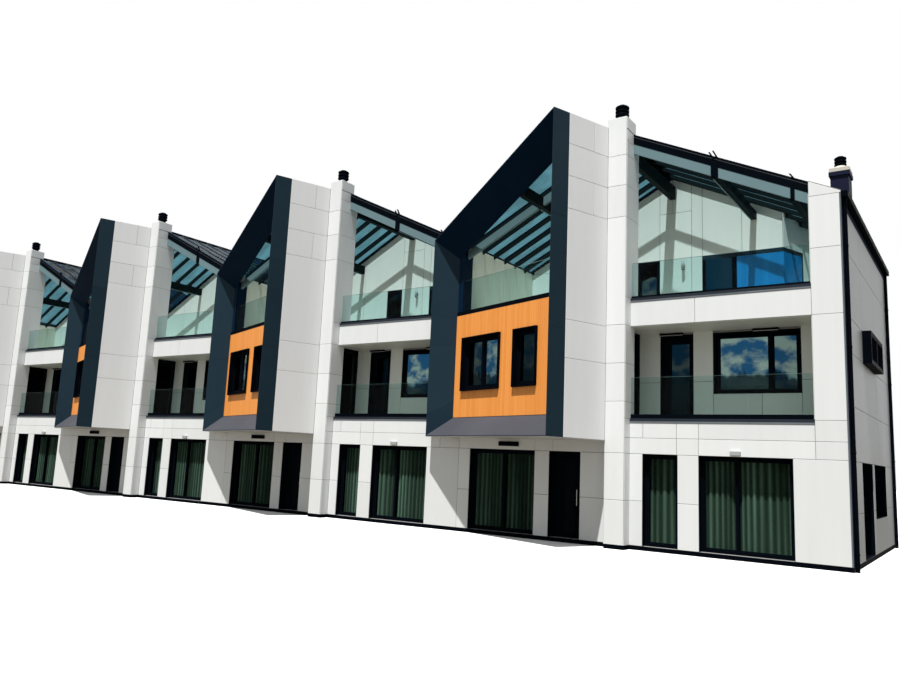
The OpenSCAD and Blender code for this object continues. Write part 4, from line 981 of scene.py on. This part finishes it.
# Roller blinds: plain grey canvas let down inside the rear windows, each drop a little smaller
# than its window; the sheets stand in for the shade of the rooms behind, as painted shade.
canvas_painted_shade = Finish("blind_canvas", "curtain", Roughness=0.9)
canvas_painted_shade.paint(canvas_painted_shade.noise(60.0), (0.22, 0.23, 0.21), (0.36, 0.37, 0.33))
drops = [(a + 0.02, b - 0.02, z0 + 0.02, z1 - 0.02) for a, b, z0, z1 in rear_openings]
lay("rear_blinds", [fields(7.63 * Y, X, Z, drops)], canvas_painted_shade, 0.004, bevel=0.001)

# Terrace blinds: upright slats of blue plastic, hung side by side behind the terrace window with
# narrow gaps.
blue = Finish("blind_slats", "curtain", Roughness=0.5)
blue.paint(blue.tone * 0.7 + blue.noise(3.0) * 0.3, (0.02, 0.12, 0.3), (0.1, 0.32, 0.58))
slats = cells(np.linspace(-4.1, -2.1, 24).tolist(), [5.85, 7.92])
lay("terrace_blinds", [fields((terrace_y + 0.16) * Y, X, Z, slats)], blue, 0.003,
    joint=0.008, bevel=0.001)

# Lights: pale covers on the undersides of the dark lamp bodies, pale shells round the lamps on
# the front wall, and tubes round those on the terraces.
milk = Finish("lamp_covers", "glass", Roughness=0.3)
milk.paint(milk.noise(20.0), (0.72, 0.72, 0.68), (0.85, 0.85, 0.82))
lamp_l, lamp_r, lamp_out, low_light, high_light = -2.391, -2.168, 0.07, 2.262, 2.349
covers = [fields(z * Z, X, -Y, [(a + 0.01, b - 0.01, y, y + 0.05)]) for a, b, z, y in
          ((-8.377, -7.791, 2.32, 0.01), (lamp_l, lamp_r, 2.26, 0.01),
           (-4.426, -3.84, 5.25, 0.01 - loggia_y), (-2.158, -1.572, 5.25, 0.01 - loggia_y))]
lay("lamp_covers", covers, milk, 0.006, bevel=0.002)
shell = metal("lamp_shells", "grey_metal", (0.4, 0.42, 0.42), spread=0.12)
quads = [fields(-lamp_out * Y, X, Z, [(lamp_l, lamp_r, low_light, high_light)]),
         fields(lamp_r * X, Y, Z, [(-lamp_out, 0.0, low_light, high_light)]),
         fields(high_light * Z, X, Y, [(lamp_l, lamp_r, -lamp_out, 0.0)])]
lay("lamp_shells", quads, shell, 0.003, bevel=0.001)
tube = [(0.046, 0.0), (0.0485, 0.0), (0.0485, 0.269), (0.046, 0.269)]
spots = [np.array([-0.4838 * house_w - house_w * i, terrace_y - 0.09, 7.617])
         for i in range(houses)]
spun("terrace_lamp_shells", [lathe(tube, spot) for spot in spots], shell)

# Doors: a dark pane let into each leaf, and an upright steel pull handle on two feet. Both swing
# with the leaf.
steel = metal("handle_steel", "grey_metal", (0.45, 0.45, 0.44), 0.3, 0.1, Metallic=1.0)
pane_low, pane_high, pane_t = 0.252, 2.008, 0.012


def handle(name, bar, foot, along, body):
    """An upright round bar at one place on two short square feet, which reach out to it from the
    leaf's face."""
    profile = [(0.001, 0.9), (0.011, 0.9), (0.013, 0.905), (0.013, 1.295), (0.011, 1.3),
               (0.001, 1.3)]
    points, faces = lathe(profile, np.array(bar), 16)
    spans = [(-0.008, 0.008, z, z + 0.016) for z in (0.95, 1.23)]
    feet, foot_faces, tone = plates(fields(foot, along, Z, spans), 0.04, 0.0, 0.002)
    faces = faces.tolist() + [[k + len(points) for k in face] for face in foot_faces]
    points = np.concatenate([points, feet])
    piece(name, points, faces, np.full(len(points), 0.5), steel, body)


for i in range(houses):
    shift, body = -house_w * i, f"door_{i + 1}"
    quad = fields(0.2085 * Y, X, Z, [(-6.533 + shift, -6.253 + shift, pane_low, pane_high)])
    lay(f"door_pane_{i + 1}", [quad], pane_painted_shade, pane_t, bevel=0.002, once=True, body=body)
    handle(f"door_handle_{i + 1}", (-6.182 + shift, 0.15, 0.0), (-6.182 + shift, 0.19, 0.0), X,
           body)
lay("end_door_pane", [fields(-0.2585 * X, Y, Z, [(2.135, 2.497, pane_low, pane_high)])],
    pane_painted_shade, pane_t, bevel=0.002, once=True, body="end_door_leaf")
handle("end_door_handle", (-0.2, 2.566, 0.0), (-0.24, 2.566, 0.0), Y, "end_door_leaf")

low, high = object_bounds()
